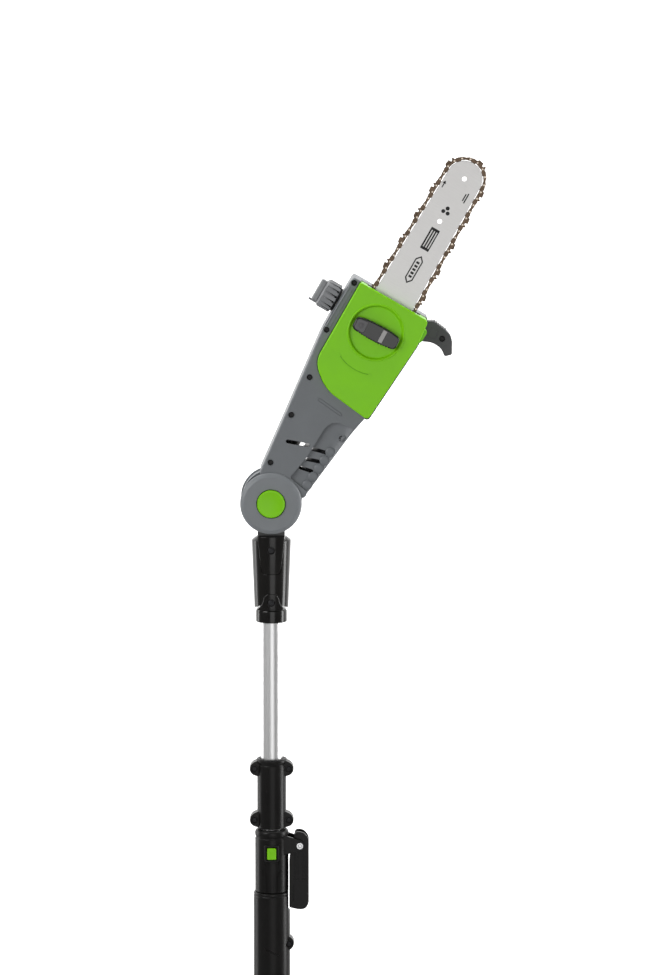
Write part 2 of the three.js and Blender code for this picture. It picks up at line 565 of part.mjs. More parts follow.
const BEARING_R = 11;
const BEARING_Y = [22, 28.5];
const HOOK_ROOT_X = 42;
const HOOK_ROOT_Z = [281, 303];
const HOOK_Y = [2, 13];
function shellHalf(side) {
  const front = side < 0;
  const outerY = front ? SHELL_FRONT_Y : SHELL_BACK_Y;
  const span = (inner, outer) => (front ? [outer, -inner] : [inner, outer]);
  const cavityY = outerY - side * SHELL_WALL;
  const cavityFrom = front ? [cavityY, 1] : [-1, cavityY];
  const above = block([-90, 90], [-90, 90], [CAVITY_U, COVER_TOP_U + 40]);
  const coverPocket = slab(coverOutline, [-90, BAR_PAD_Y], { grow: 0.8 });
  const openTop = block([-44, 90], [-90, BAR_PAD_Y], [COVER_TOP_U - 12, COVER_TOP_U + 9]);
  const pad = slab(coverOutline, [BAR_PAD_Y, BAR_PAD_Y + TOP_PAD_WALL], { grow: 3 }).intersect(
    slab(housingOutline, [BAR_PAD_Y, 0], { grow: -1 }),
  );
  const pocketWall = slab(coverOutline, [SHELL_FRONT_Y + 1, BAR_PAD_Y + 1], { grow: 3 }).intersect(
    slab(housingOutline, [-90, 0], { grow: -1 }),
  );
  let made = slab(housingOutline, span(GAP / 2, outerY), { chamfer: 2 });
  made = made.subtract(slab(housingOutline, cavityFrom, { grow: -SHELL_WALL }).intersect(above));
  made = made.add(rodY(CHEEK_R, span(NECK_DEPTH + GAP, outerY), [0, 0], 32));
  for (const place of shellScrews) {
    const column = rodY(SCREW_COLUMN_R, span(GAP / 2, outerY - side * 1), place, 10);
    made = made.add(column.intersect(slab(housingOutline, span(GAP / 2, outerY), { chamfer: 2 })));
  }
  if (front) {
    made = made.add(pad).add(pocketWall).subtract(coverPocket).subtract(openTop);
    made = made.subtract(rodY(SPINDLE_R + GAP, [-90, 0], spindle, 16));
    made = made.subtract(rodY(STUD_R + GAP, [-90, 0], stud, 10));
    made = made.subtract(rodY(BUTTON_R + 0.4, [-90, SHELL_FRONT_Y + BUTTON_TRAVEL - 2.5], [0, 0], 28));
    made = made.subtract(rodY(KEY_R + 0.8, [-90, 0], [0, 0], 16));
    made = made.subtract(slab(scoop, [-90, SHELL_FRONT_Y + SCOOP_DEPTH]));
    made = made.subtract(slot([-12, 148.5], [20, 145.5], 3.5, [-90, SHELL_FRONT_Y + 1.2]));
  } else {
    const bearingRoom = rodY(BEARING_R + 0.2, [0, BEARING_Y[1] + 0.2], spindle, 16);
    const seat = rodY(13.5, [20, SHELL_BACK_Y - 1], spindle, 16).subtract(bearingRoom);
    const [rootLow, rootHigh] = HOOK_ROOT_Z;
    const hookDepth = [HOOK_Y[0] - GAP, HOOK_Y[1] + GAP];
    const hookPocket = block([HOOK_ROOT_X - GAP, 90], hookDepth, [rootLow - GAP, rootHigh + GAP]);
    const hookBlock = block([HOOK_ROOT_X - 3, 55], [GAP / 2, HOOK_Y[1] + 3], [rootLow - 3, rootHigh + 3]);
    made = made.add(seat).add(hookBlock).subtract(hookPocket);
    made = made.subtract(rodY(BOLT_R + GAP, [0, 90], [0, 0], 10));
  }
  for (const [from, to] of vents) made = made.subtract(slot(from, to, VENT_WIDTH, front ? [-90, -20] : [20, 90]));
  for (const place of shellScrews) made = made.subtract(screwHole(SHELL_FRONT_Y - 5, SCREW_SEAT_Y, SCREW_LENGTH, place));
  made = made.subtract(rodY(NECK_DISC_R + 1, [-NECK_DEPTH - GAP, NECK_DEPTH + GAP], [0, 0], 32));
  return made.subtract(rodX(FILLER.neck + GAP, [-90, -40], [FILLER.y, FILLER.z], 16));
}
piece(head, "housing_front", shellHalf(-1), GREY);
piece(head, "housing_rear", shellHalf(1), GREY);

// ---- branch hook: its root sits in the rear shell ----
const HOOK_FRONT = [-7, 15];
function hook() {
  const shape = outline([
    [58.6, 304.5, 1.5],
    [64, 308.2, 2],
    [88.7, 305.2, 5],
    [97.2, 300.4, 4],
    [107.4, 282.4, 3],
    [100, 275.4, 3],
    [92.5, 281.6, 5],
    [83.4, 283.5, 4],
    [74.3, 282.3, 4],
    [64.2, 277.3, 4],
    [58.6, 279, 1.5],
  ]);
  let made = slab(shape, HOOK_FRONT, { chamfer: 1.2 });
  for (const x of [66, 70, 74, 78]) made = made.subtract(rodY(1.1, [-90, 90], [x, 308.4], 8));
  made = made.add(block([HOOK_ROOT_X, 62], HOOK_Y, HOOK_ROOT_Z));
  return made.subtract(screwHole(HOOK_FRONT[0], HOOK_FRONT[0] + 4, 12, [85.8, 294]));
}
piece(head, "branch_hook", hook(), DARK_GREY);
piece(head, "hook_screw", screw(HOOK_FRONT[0] + 4, 11, [85.8, 294]), SCREW_BLACK);

// ---- side cover over the bar's tail and the sprocket ----
const DISH_R = 33.8;
const DISH_RIM = 2.9;
const DISH_DEPTH = 3.2;
const KNOB_HUB_R = 7;
const CHAIN_ROOM = BAR_HALF + CHAIN_HEIGHT + CUTTER_HEIGHT + 3;
const COVER_BACK_Y = BAR_PAD_Y - GAP;
function sideCover() {
  const body = slab(coverOutline, [COVER_FACE_Y, COVER_BACK_Y], { chamfer: 2 });
  const hollow = slab(coverOutline, [COVER_FACE_Y + COVER_WALL, 0], { grow: -COVER_WALL });
  const exit = block([BAR_V - CHAIN_ROOM, BAR_V + CHAIN_ROOM], [BAR_Y - 6, 0], [COVER_TOP_U - 12, COVER_TOP_U + 9]);
  const dishBack = rodY(DISH_R + 2, [COVER_FACE_Y + 1, COVER_FACE_Y + DISH_DEPTH + COVER_WALL], stud, 32);
  const rim = rodY(DISH_R + DISH_RIM, [COVER_FACE_Y - 0.9, COVER_FACE_Y + 1], stud, 32);
  return body
    .subtract(hollow)
    .subtract(exit)
    .add(dishBack)
    .add(rim)
    .subtract(rodY(DISH_R, [-90, COVER_FACE_Y + DISH_DEPTH], stud, 32))
    .subtract(rodY(KNOB_HUB_R + 0.4, [-90, 0], stud, 16));
}
piece(head, "side_cover", sideCover(), GREEN);

// ---- clamping knob, turned by its bar-shaped grip, and the stud that it draws on ----
const KNOB_LENGTH = 63;
const KNOB_WIDTH = 22;
const KNOB_FACE_Y = COVER_FACE_Y - 8;
const KNOB_BACK_Y = COVER_FACE_Y + DISH_DEPTH - GAP;
const BAR_FRONT_Y = BAR_Y - BAR_THICK / 2;
function knob() {
  const grip = outline([
    [BAR_V - KNOB_LENGTH / 2, STUD_U - KNOB_WIDTH / 2 + 2, 4],
    [BAR_V, STUD_U - KNOB_WIDTH / 2 - 1, 20],
    [BAR_V + KNOB_LENGTH / 2, STUD_U - KNOB_WIDTH / 2 + 2, 4],
    [BAR_V + KNOB_LENGTH / 2, STUD_U + KNOB_WIDTH / 2 - 2, 4],
    [BAR_V, STUD_U + KNOB_WIDTH / 2 + 1, 20],
    [BAR_V - KNOB_LENGTH / 2, STUD_U + KNOB_WIDTH / 2 - 2, 4],
  ]);
  const hub = rodY(KNOB_HUB_R, [KNOB_BACK_Y - 1, BAR_FRONT_Y - GAP], stud, 16);
  const bore = rodY(STUD_R + GAP, [KNOB_FACE_Y + 5, 0], stud, 12);
  return slab(grip, [KNOB_FACE_Y, KNOB_BACK_Y], { chamfer: 2 }).add(hub).subtract(bore);
}
piece(head, "cover_knob", knob(), BLACK);
const studFlange = rodY(9, [BAR_PAD_Y + TOP_PAD_WALL + GAP, BAR_PAD_Y + TOP_PAD_WALL + 4], stud, 10);
piece(head, "bar_stud", rodY(STUD_R, [KNOB_FACE_Y + 6, -8], stud, 12).add(studFlange), STEEL);

// ---- guide bar with its sprocket nose ----
const noseU = COVER_TOP_U + BAR_LENGTH - NOSE_R;
const nose = [BAR_V, noseU];
const TAIL_U = STUD_U + 1;
const NOSE_HUB_R = 6;
const NOSE_SLOT = 1.8;
const barSpan = [BAR_Y - BAR_THICK / 2, BAR_Y + BAR_THICK / 2];
function guideBar() {
  const body = slab(belt(BAR_V, [[TAIL_U, BAR_HALF], [noseU, NOSE_R]]), barSpan, { curve: 7 });
  const studSlot = slot([BAR_V, STUD_U - 14], [BAR_V, STUD_U + 14], 2 * (STUD_R + GAP), [-90, 0]);
  const slotSpan = [BAR_Y - NOSE_SLOT / 2, BAR_Y + NOSE_SLOT / 2];
  const noseSlot = rodY(NOSE_R + 3, slotSpan, nose, 28).subtract(rodY(NOSE_HUB_R, slotSpan, nose, 12));
  return body
    .subtract(studSlot)
    .subtract(noseSlot)
    .subtract(rodY(3, [-90, 0], nose, 10))
    .subtract(rodY(3.2, [-90, 0], [BAR_V, noseU - 63], 10))
    .subtract(rodY(2.4, [-90, 0], [BAR_V - 17, STUD_U + 8], 8));
}
piece(head, "guide_bar", guideBar(), STEEL);

// A toothed outline about [x, z].
function toothed([x, z], teeth, tip, rootRadius, share = 0.5) {
  const shape = new THREE.Shape();
  for (let i = 0; i < teeth; i++) {
    const step = (2 * Math.PI) / teeth;
    const corners = [
      [rootRadius, -share],
      [tip, -share * 0.55],
      [tip, share * 0.55],
      [rootRadius, share],
    ];
    for (const [r, part] of corners) {
      const angle = i * step + (part * step) / 2;
      const point = [x + r * Math.cos(angle), z + r * Math.sin(angle)];
      if (i === 0 && part === -share) shape.moveTo(...point);
      else shape.lineTo(...point);
    }
  }
  shape.closePath();
  return shape;
}
const NOSE_TEETH = 9;
const DRIVE_TEETH = 6;
const noseWheelSpan = [BAR_Y - NOSE_SLOT / 2 + GAP, BAR_Y + NOSE_SLOT / 2 - GAP];
const noseWheel = slab(toothed(nose, NOSE_TEETH, NOSE_R - 2.4, NOSE_R - 7), noseWheelSpan);
piece(head, "nose_sprocket", noseWheel.subtract(rodY(NOSE_HUB_R + GAP, [-90, 0], nose, 12)), DARK_STEEL);

// ---- saw chain: one loop, with a cutter at every second drive link ----
const chainSpan = [BAR_Y - CHAIN_THICK / 2, BAR_Y + CHAIN_THICK / 2];
function chainLoop(stand) {
  const circles = [
    [SPROCKET_U, SPROCKET_R + CHAIN_SLACK + stand],
    [TAIL_U, BAR_HALF + GAP + stand],
    [noseU, NOSE_R + GAP + stand],
  ];
  return belt(BAR_V, circles);
}
function sawChain() {
  let made = slab(chainLoop(CHAIN_HEIGHT), chainSpan, { curve: 5 });
  made = made.subtract(slab(chainLoop(0), [-90, 0], { curve: 5 }));
  const path = chainLoop(CHAIN_HEIGHT);
  const links = Math.round(path.getLength() / CHAIN_PITCH / 2) * 2;
  for (let i = 0; i < links; i += 2) {
    const at = path.getPointAt(i / links);
    const along = path.getTangentAt(i / links).multiplyScalar(CHAIN_PITCH * 0.3);
    const start = [at.x - along.x, at.y - along.y];
    const end = [at.x + along.x, at.y + along.y];
    made = made.add(slab(bandOutline(start, end, 2 * CUTTER_HEIGHT), chainSpan));
  }
  return made;
}
piece(head, "saw_chain", sawChain(), DARK_STEEL);

// ---- drive: motor, pinion, face gear, spindle and sprocket ----
const GEAR_TEETH = 24;
const PINION_TEETH = 6;
const GEAR_FACE_Y = MOTOR_AXIS_Y + PINION_R + 0.5;
const TOOTH_HEIGHT = 2;
const pinionSpan = [SPROCKET_U - GEAR_R, SPROCKET_U - GEAR_R + 9];
const motorCan = rodZ(MOTOR_R, motorSpan, [BAR_V, MOTOR_AXIS_Y], 24);
const rotorSpan = [motorSpan[0] + 5, motorSpan[1] - 5];
const canBore = rodZ(MOTOR_R - 4, [motorSpan[0] + 3, motorSpan[1] + 1], [BAR_V, MOTOR_AXIS_Y], 16);
piece(head, "motor_can", motorCan.subtract(canBore), STEEL);
const endBell = ringAt(MOTOR_R - 4 - GAP, 3.2, [motorSpan[1] - 4, motorSpan[1] + 2]);
function ringAt(outer, inner, span) {
  const place = [BAR_V, MOTOR_AXIS_Y];
  return rodZ(outer, span, place, 16).subtract(rodZ(inner, [span[0] - 1, span[1] + 1], place, 10));
}
piece(head, "motor_end_bell", endBell, BLACK);
const armature = rodZ(MOTOR_R - 5.5, rotorSpan, [BAR_V, MOTOR_AXIS_Y], 16);
const shaft = rodZ(2.6, [rotorSpan[0], pinionSpan[1]], [BAR_V, MOTOR_AXIS_Y], 10);
const pinionShape = new THREE.ExtrudeGeometry(toothed([0, 0], PINION_TEETH, PINION_R, PINION_R - 2.4), {
  depth: pinionSpan[1] - pinionSpan[0],
  bevelEnabled: false,
});
const pinion = solid(pinionShape.translate(BAR_V, MOTOR_AXIS_Y, pinionSpan[0]));
piece(head, "motor_rotor", armature.add(shaft).add(pinion), STEEL);

function driveGear() {
  let made = rodY(GEAR_R, [GEAR_FACE_Y + TOOTH_HEIGHT, GEAR_FACE_Y + TOOTH_HEIGHT + 5], spindle, 32);
  for (let i = 0; i < GEAR_TEETH; i++) {
    const turn = (i * 2 * Math.PI) / GEAR_TEETH;
    const tooth = new THREE.BoxGeometry(7, TOOTH_HEIGHT + 1, 2.6).rotateY(-turn);
    const reach = GEAR_R - 4;
    const along = SPROCKET_U + reach * Math.sin(turn);
    tooth.translate(BAR_V + reach * Math.cos(turn), GEAR_FACE_Y + (TOOTH_HEIGHT + 1) / 2, along);
    made = made.add(solid(tooth));
  }
  return made.subtract(rodY(SPINDLE_R + GAP, [0, 90], spindle, 12));
}
piece(head, "drive_gear", driveGear(), STEEL);
piece(head, "drive_spindle", rodY(SPINDLE_R, [BAR_Y - 5, BEARING_Y[1]], spindle, 12), STEEL);
const bearing = rodY(BEARING_R, BEARING_Y, spindle, 24);
piece(head, "spindle_bearing", bearing.subtract(rodY(SPINDLE_R + GAP, [0, 90], spindle, 12)), STEEL);
const sprocketSpan = [BAR_Y - 1.4, BAR_Y + 1.4];
const sprocket = slab(toothed(spindle, DRIVE_TEETH, SPROCKET_R - 0.6, SPROCKET_R - 6), sprocketSpan);
const sprocketDisc = rodY(SPROCKET_R - 5, [BAR_Y - 3, BAR_Y + 3], spindle, 16);
const spindleBore = rodY(SPINDLE_R + GAP, [-90, 0], spindle, 12);
piece(head, "drive_sprocket", sprocket.add(sprocketDisc).subtract(spindleBore), DARK_STEEL);

// ---- chain tension screw beside the stud, and its block in the bar's hole ----
const TENSION_X = BAR_V - 17;
const tensionY = [BAR_PAD_Y + TOP_PAD_WALL + 1, BAR_PAD_Y + TOP_PAD_WALL + 9];
const tensionAxis = [TENSION_X, (tensionY[0] + tensionY[1]) / 2];
piece(head, "tension_screw", rodZ(2.2, [STUD_U - 26, STUD_U + 34], tensionAxis, 8), SCREW_BLACK);

// ---- oil tank, pump, filler cap and seal ----
const tankX = [-49, -15];
const tankY = [-9, 29];
const tankZ = [252, 294];
const TANK_WALL = 2.4;
function oilTank() {
  const body = block(tankX, tankY, tankZ);
  const neck = rodX(FILLER.neck, [FILLER_WALL_X - 1, tankX[0] + 2], [FILLER.y, FILLER.z], 16);
  const within = ([from, to]) => [from + TANK_WALL, to - TANK_WALL];
  const inside = block(within(tankX), within(tankY), within(tankZ));
  const throat = rodX(FILLER.neck - 2.4, [-90, tankX[0] + 6], [FILLER.y, FILLER.z], 16);
  const tensionClear = block([TENSION_X - 3, TENSION_X + 3], [-20, tensionY[1] + 1], [0, 400]);
  return body.add(neck).subtract(inside).subtract(throat).subtract(tensionClear);
}
piece(head, "oil_tank", oilTank(), { color: 0xd8d2b8, roughness: 0.5 });
piece(head, "oil_pump", rodY(9, [2, 22], [-34, 232], 12), { color: 0x9a9ca0, roughness: 0.5 });
const sealX = [FILLER_WALL_X - 3, FILLER_WALL_X - CAP_TURN_GAP];
const sealRing = rodX(FILLER.seal, sealX, [FILLER.y, FILLER.z], 24);
const sealBore = rodX(FILLER.neck + GAP, [-90, 0], [FILLER.y, FILLER.z], 16);
piece(head, "cap_seal", sealRing.subtract(sealBore), RUBBER);
function oilCap() {
  const place = [FILLER.y, FILLER.z];
  const base = sealX[0] - CAP_TURN_GAP;
  const body = rodX(FILLER.cap - 3, [base - 21, base - 17], place, 24, FILLER.cap);
  const skirt = rodX(FILLER.cap, [base - 17, base], place, 24);
  const grip = block([base - 27.5, base - 20], [FILLER.y - 15, FILLER.y + 15], [FILLER.z - 7, FILLER.z + 7]);
  const plug = rodX(FILLER.neck - 2.4 - GAP, [base - 1, FILLER_WALL_X + 8], place, 16);
  const neckBore = rodX(FILLER.neck - 2.4, [-90, 90], place, 16);
  const lower = rodX(FILLER.neck + 0.4, [base - 0.3, 0], place, 16).subtract(neckBore);
  let made = body.add(skirt).add(grip).add(plug).subtract(lower);
  for (let i = 0; i < 8; i++) {
    const turn = (i * Math.PI) / 4;
    const reach = FILLER.cap + 0.6;
    const flute = [FILLER.y + reach * Math.cos(turn), FILLER.z + reach * Math.sin(turn)];
    made = made.subtract(rodX(1.6, [base - 22, base - 4], flute, 8));
  }
  return made;
}
piece(head, "oil_cap", oilCap(), GREY);

// ---- knuckle: caps, tilt button, lock key, spring and pivot bolt ----
const CAP_THICK = 5.7;
function knuckleCap(side) {
  const seat = side < 0 ? SHELL_FRONT_Y - GAP : SHELL_BACK_Y + GAP;
  const face = seat + side * CAP_THICK;
  const edge = face - side * 1.8;
  const body = rodY(KNUCKLE_R, side < 0 ? [edge, seat] : [seat, edge], [0, 0], 32);
  const rim = KNUCKLE_R - 1.8;
  const chamfer =
    side < 0
      ? rodY(rim, [face, edge], [0, 0], 32, KNUCKLE_R)
      : rodY(KNUCKLE_R, [edge, face], [0, 0], 32, rim);
  const bore = side < 0 ? BUTTON_R + 0.4 : 8.6;
  return body.add(chamfer).subtract(rodY(bore, side < 0 ? [-90, 0] : [0, 90], [0, 0], 28));
}
piece(head, "knuckle_cap_front", knuckleCap(-1), GREY);
piece(head, "knuckle_cap_rear", knuckleCap(1), GREY);
const buttonBack = SHELL_FRONT_Y - 3;
const buttonFace = buttonBack - 5.5;
const buttonDisc = rodY(BUTTON_R - 1.5, [buttonFace, buttonFace + 1.5], [0, 0], 28, BUTTON_R);
piece(head, "tilt_button", buttonDisc.add(rodY(BUTTON_R, [buttonFace + 1.5, buttonBack], [0, 0], 28)), GREEN);
const keyBack = -NECK_DEPTH + 2.4;
const boltFront = -NECK_DEPTH - 6;
const keySplines = slab(toothed([0, 0], 12, KEY_R, KEY_R - 2), [buttonBack + GAP, keyBack]);
const keyBore = rodY(BOLT_R + 0.6, [boltFront - BUTTON_TRAVEL - 1, 0], [0, 0], 10);
piece(head, "lock_key", keySplines.subtract(keyBore), STEEL);
const springY = [-NECK_DEPTH + KEY_RECESS - 2.3, -NECK_DEPTH + KEY_RECESS - GAP];
const springHole = rodY(BOLT_R + 2, [-90, 0], [0, 0], 10);
piece(head, "tilt_spring", rodY(KEY_R - 3, springY, [0, 0], 16).subtract(springHole), STEEL);
const boltHead = rodY(8, [SHELL_BACK_Y + GAP, SHELL_BACK_Y + GAP + 4], [0, 0], 6);
piece(head, "pivot_bolt", rodY(BOLT_R, [boltFront, SHELL_BACK_Y + 1], [0, 0], 10).add(boltHead), STEEL);

// ================= rear handle and battery =================
const BAY_CORNER = 8;
const triggerPivot = [15, 238];
const LATCH_TRAVEL = 2.5;
const batteryX = BAY_HALF_X - HANDLE_WALL - 2.5;
const batteryY = BAY_HALF_Y - HANDLE_WALL - 3;
const BATTERY_TOP = BATTERY_HEIGHT; // the pack's flat end lies flush with the butt
const BAY_ROOM = 0.6;
const TERMINAL_Z = [BATTERY_TOP + 1.5, BATTERY_TOP + 10];
const gripOutline = outline([
  [-BAY_HALF_X + 4, BAY_HEIGHT - 20],
  [BAY_HALF_X - 4, BAY_HEIGHT - 20],
  [BAY_HALF_X - 6, BAY_HEIGHT, 12],
  [GRIP_HALF_X, BAY_HEIGHT + 34, 20],
  [GRIP_HALF_X, HANDLE_TOP_Z - 70, 20],
  [GRIP_HALF_X + 3, HANDLE_TOP_Z - 48, 20],
  [GRIP_HALF_X + 2, HANDLE_TOP_Z, 9],
  [-GRIP_HALF_X - 2, HANDLE_TOP_Z, 9],
  [-GRIP_HALF_X - 3, HANDLE_TOP_Z - 48, 20],
  [-GRIP_HALF_X, HANDLE_TOP_Z - 70, 20],
  [-GRIP_HALF_X, BAY_HEIGHT + 34, 20],
  [-BAY_HALF_X + 6, BAY_HEIGHT, 12],
]);
const bayOutline = outline([
  [-BAY_HALF_X, 0, 5],
  [BAY_HALF_X, 0, 5],
  [BAY_HALF_X, BAY_HEIGHT, BAY_CORNER],
  [-BAY_HALF_X, BAY_HEIGHT, BAY_CORNER],
]);
const handleScrews = [
  [0, BAY_HEIGHT + 22],
  [-14, HANDLE_TOP_Z - 66],
];
const HANDLE_SCREW_Y = -GRIP_HALF_Y + 4;
const TUBE_SLEEVE_Y = OUTER_TUBE_R + 4;
function handleHalf(side) {
  const half = block([-90, 90], side < 0 ? [-90, -GAP / 2] : [GAP / 2, 90], [-10, HANDLE_TOP_Z + 10]);
  const tubeBarrel = rodZ(TUBE_SLEEVE_Y, [OUTER_TUBE_BOTTOM - 8, HANDLE_TOP_Z], [0, 0], 24);
  let made = slab(gripOutline, [-GRIP_HALF_Y, GRIP_HALF_Y], { chamfer: 4 });
  made = made.add(slab(bayOutline, [-BAY_HALF_Y, BAY_HALF_Y], { chamfer: 2 })).add(tubeBarrel);
  made = made.subtract(block([-15.5, 15.5], [-14, 14], [BAY_HEIGHT + 30, OUTER_TUBE_BOTTOM - 14]));
  const bayX = batteryX + BAY_ROOM;
  const bayY = batteryY + BAY_ROOM;
  made = made.subtract(block([-bayX, bayX], [-bayY, bayY], [-10, TERMINAL_Z[1] + 1]));
  made = made.subtract(block([-8, 8], [-8, 8], [BAY_HEIGHT - 20, BAY_HEIGHT + 12]));
  made = made.subtract(block([-12, -5], [-8, 8], [BAY_HEIGHT - 6, BAY_HEIGHT + 40]));
  made = made.subtract(rodZ(OUTER_TUBE_R + GAP, [OUTER_TUBE_BOTTOM - GAP, HANDLE_TOP_Z + 1], [0, 0], 28));
  made = made.subtract(rodZ(10, [OUTER_TUBE_BOTTOM - 20, HANDLE_TOP_Z], [0, 0], 12));
  made = made.subtract(block([6, 60], [-6.4, 6.4], [triggerPivot[1] - 59, triggerPivot[1] + 9]));
  made = made.subtract(block([-60, -6], [-5.4, 5.4], [217, 241]));
  made = made.subtract(block([-60, -batteryX - GAP + 1], [-9.4, 9.4], [59.6, 90.4]));
  made = made.subtract(rodY(2.2, [-16.5, 16.5], triggerPivot, 8));
  for (const place of handleScrews) made = made.subtract(screwHole(-GRIP_HALF_Y - 4, HANDLE_SCREW_Y, 24, place));
  return made.intersect(half);
}
piece(pole, "handle_front", handleHalf(-1), BLACK);
piece(pole, "handle_rear", handleHalf(1), BLACK);

// ---- trigger, lock-off and switch ----
const TRIGGER_HALF_Y = 6;
const [pivotX, pivotZ] = triggerPivot;
const triggerShape = outline([
  [pivotX - 4, pivotZ - 5, 2],
  [pivotX - 4, pivotZ + 5, 3],
  [pivotX + 4, pivotZ + 6, 3],
  [pivotX + 9, pivotZ - 2, 4],
  [pivotX + 9, pivotZ - 22, 9],
  [pivotX + 13, pivotZ - 50, 8],
  [pivotX + 7, pivotZ - 56, 3],
  [pivotX + 1, pivotZ - 50, 3],
  [pivotX, pivotZ - 25, 6],
]);
const triggerBody = slab(triggerShape, [-TRIGGER_HALF_Y, TRIGGER_HALF_Y], { chamfer: 1.4 });
piece(pole, "trigger", triggerBody.subtract(rodY(2.2, [-30, 30], triggerPivot, 8)), BLACK);
piece(pole, "trigger_pin", rodY(1.9, [-16, 16], triggerPivot, 8), STEEL);
piece(pole, "lock_off_button", block([-GRIP_HALF_X - 4, -GRIP_HALF_X + 7], [-5, 5], [217.4, 240.6]), GREEN);
piece(pole, "trigger_switch", block([-10, 0], [-8, 8], [188, 212]), TERMINAL_GREY);

// ---- battery, its latch and the terminal block ----
function battery() {
  const body = block([-batteryX, batteryX], [-batteryY, batteryY], [0, BATTERY_TOP]);
  const fingerCut = block([-14, 14], [-batteryY - 1, -batteryY + 4], [-1, 10]);
  const rails = [-1, 1].map((side) => {
    const near = side * batteryX;
    const far = side * (batteryX - 3);
    const across = [Math.min(near, far) - 0.5, Math.max(near, far) + 0.5];
    return block(across, [10, 14], [20, BATTERY_TOP + 1]);
  });
  return body.subtract(fingerCut).subtract(rails[0]).subtract(rails[1]);
}
piece(pole, "battery_pack", battery(), BLACK);
const latchX = [-BAY_HALF_X - 2.4, -batteryX - GAP - LATCH_TRAVEL - 0.4];
piece(pole, "battery_latch", block(latchX, [-9, 9], [60, 90]), GREEN);
piece(pole, "terminal_block", block([-20, 20], [-13, 13], TERMINAL_Z), TERMINAL_GREY);

export default root;
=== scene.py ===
import json
import math
import bpy
import bmesh
from mathutils import Matrix, Vector


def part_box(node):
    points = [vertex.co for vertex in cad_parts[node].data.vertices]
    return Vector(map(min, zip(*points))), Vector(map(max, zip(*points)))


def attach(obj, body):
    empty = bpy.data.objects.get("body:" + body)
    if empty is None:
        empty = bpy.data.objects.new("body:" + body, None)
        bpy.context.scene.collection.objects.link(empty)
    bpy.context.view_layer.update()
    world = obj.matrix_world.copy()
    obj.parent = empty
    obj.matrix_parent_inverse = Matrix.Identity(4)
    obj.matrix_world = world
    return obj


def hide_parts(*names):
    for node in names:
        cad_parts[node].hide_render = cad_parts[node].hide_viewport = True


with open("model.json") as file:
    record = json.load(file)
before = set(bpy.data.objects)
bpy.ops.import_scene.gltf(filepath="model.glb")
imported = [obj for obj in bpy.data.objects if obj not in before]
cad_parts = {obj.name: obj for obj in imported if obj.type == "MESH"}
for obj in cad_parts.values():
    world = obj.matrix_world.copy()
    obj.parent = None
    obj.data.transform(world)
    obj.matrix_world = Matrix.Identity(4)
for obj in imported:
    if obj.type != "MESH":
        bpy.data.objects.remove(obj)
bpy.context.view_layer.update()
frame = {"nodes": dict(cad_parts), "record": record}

# ---- camera, stage and light ----
# A tall studio picture: a long lens looks a little down at the saw from the front, and the saw stands on
# a white floor that meets a white wall behind it.
joints = {joint["name"]: joint for joint in frame["record"]["behaviour"]["joints"]}
pivot = Vector(joints["head_tilt"]["pos_m"])
lean = math.atan2(joints["bar_tension"]["axis"][0], joints["bar_tension"]["axis"][2])
bpy.context.scene.view_settings.view_transform = "Standard"

view_height = 1.2676
view_distance = 6.0
look_down = math.radians(8)
aim = pivot + Vector((0.0699, 0, 0.0166))
camera = bpy.data.objects.new("camera", bpy.data.cameras.new("camera"))
camera.data.sensor_width = 36
camera.data.lens = camera.data.sensor_width * view_distance / view_height
camera.data.clip_end = 60
camera.location = aim + view_distance * Vector((0, -math.cos(look_down), math.sin(look_down)))
camera.rotation_euler = (math.radians(90) - look_down, 0, 0)
bpy.context.collection.objects.link(camera)
bpy.context.scene.camera = camera

wall_distance = 2.8
stage_half = 14.0
paper = bpy.data.materials.new("white_paper")
paper.use_nodes = True
paper_shader = paper.node_tree.nodes["Principled BSDF"]
paper_shader.inputs["Base Color"].default_value = (0.94, 0.94, 0.935, 1)
paper_shader.inputs["Roughness"].default_value = 0.9
paper_shader.inputs["Emission Color"].default_value = (1.0, 1.0, 0.995, 1)
paper_shader.inputs["Emission Strength"].default_value = 0.85
paper_nodes = paper.node_tree.nodes
see_through = paper_nodes.new("ShaderNodeBsdfTransparent")
side_seen = paper_nodes.new("ShaderNodeNewGeometry")
one_sided = paper_nodes.new("ShaderNodeMixShader")
paper.node_tree.links.new(side_seen.outputs["Backfacing"], one_sided.inputs[0])
paper.node_tree.links.new(paper_shader.outputs["BSDF"], one_sided.inputs[1])
paper.node_tree.links.new(see_through.outputs["BSDF"], one_sided.inputs[2])
paper.node_tree.links.new(one_sided.outputs["Shader"], paper_nodes["Material Output"].inputs["Surface"])
boards = bpy.data.materials.new("grey_studio_floor")
boards.use_nodes = True
boards.node_tree.nodes["Principled BSDF"].inputs["Base Color"].default_value = (0.30, 0.30, 0.30, 1)
boards.node_tree.nodes["Principled BSDF"].inputs["Roughness"].default_value = 0.8
for stage_name, turn, place, cover in (
    ("floor", Matrix.Identity(4), (0, 0, 0), boards),
    ("back_wall", Matrix.Rotation(math.radians(90), 4, "X"), (0, wall_distance, 0), paper),
):
    stage_bm = bmesh.new()
    bmesh.ops.create_grid(
        stage_bm, x_segments=1, y_segments=1, size=stage_half, matrix=Matrix.Translation(place) @ turn
    )
    stage_mesh = bpy.data.meshes.new(stage_name)
    stage_bm.to_mesh(stage_mesh)
    stage_bm.free()
    stage_mesh.materials.append(cover)
    stage_object = bpy.data.objects.new(stage_name, stage_mesh)
    bpy.context.collection.objects.link(stage_object)

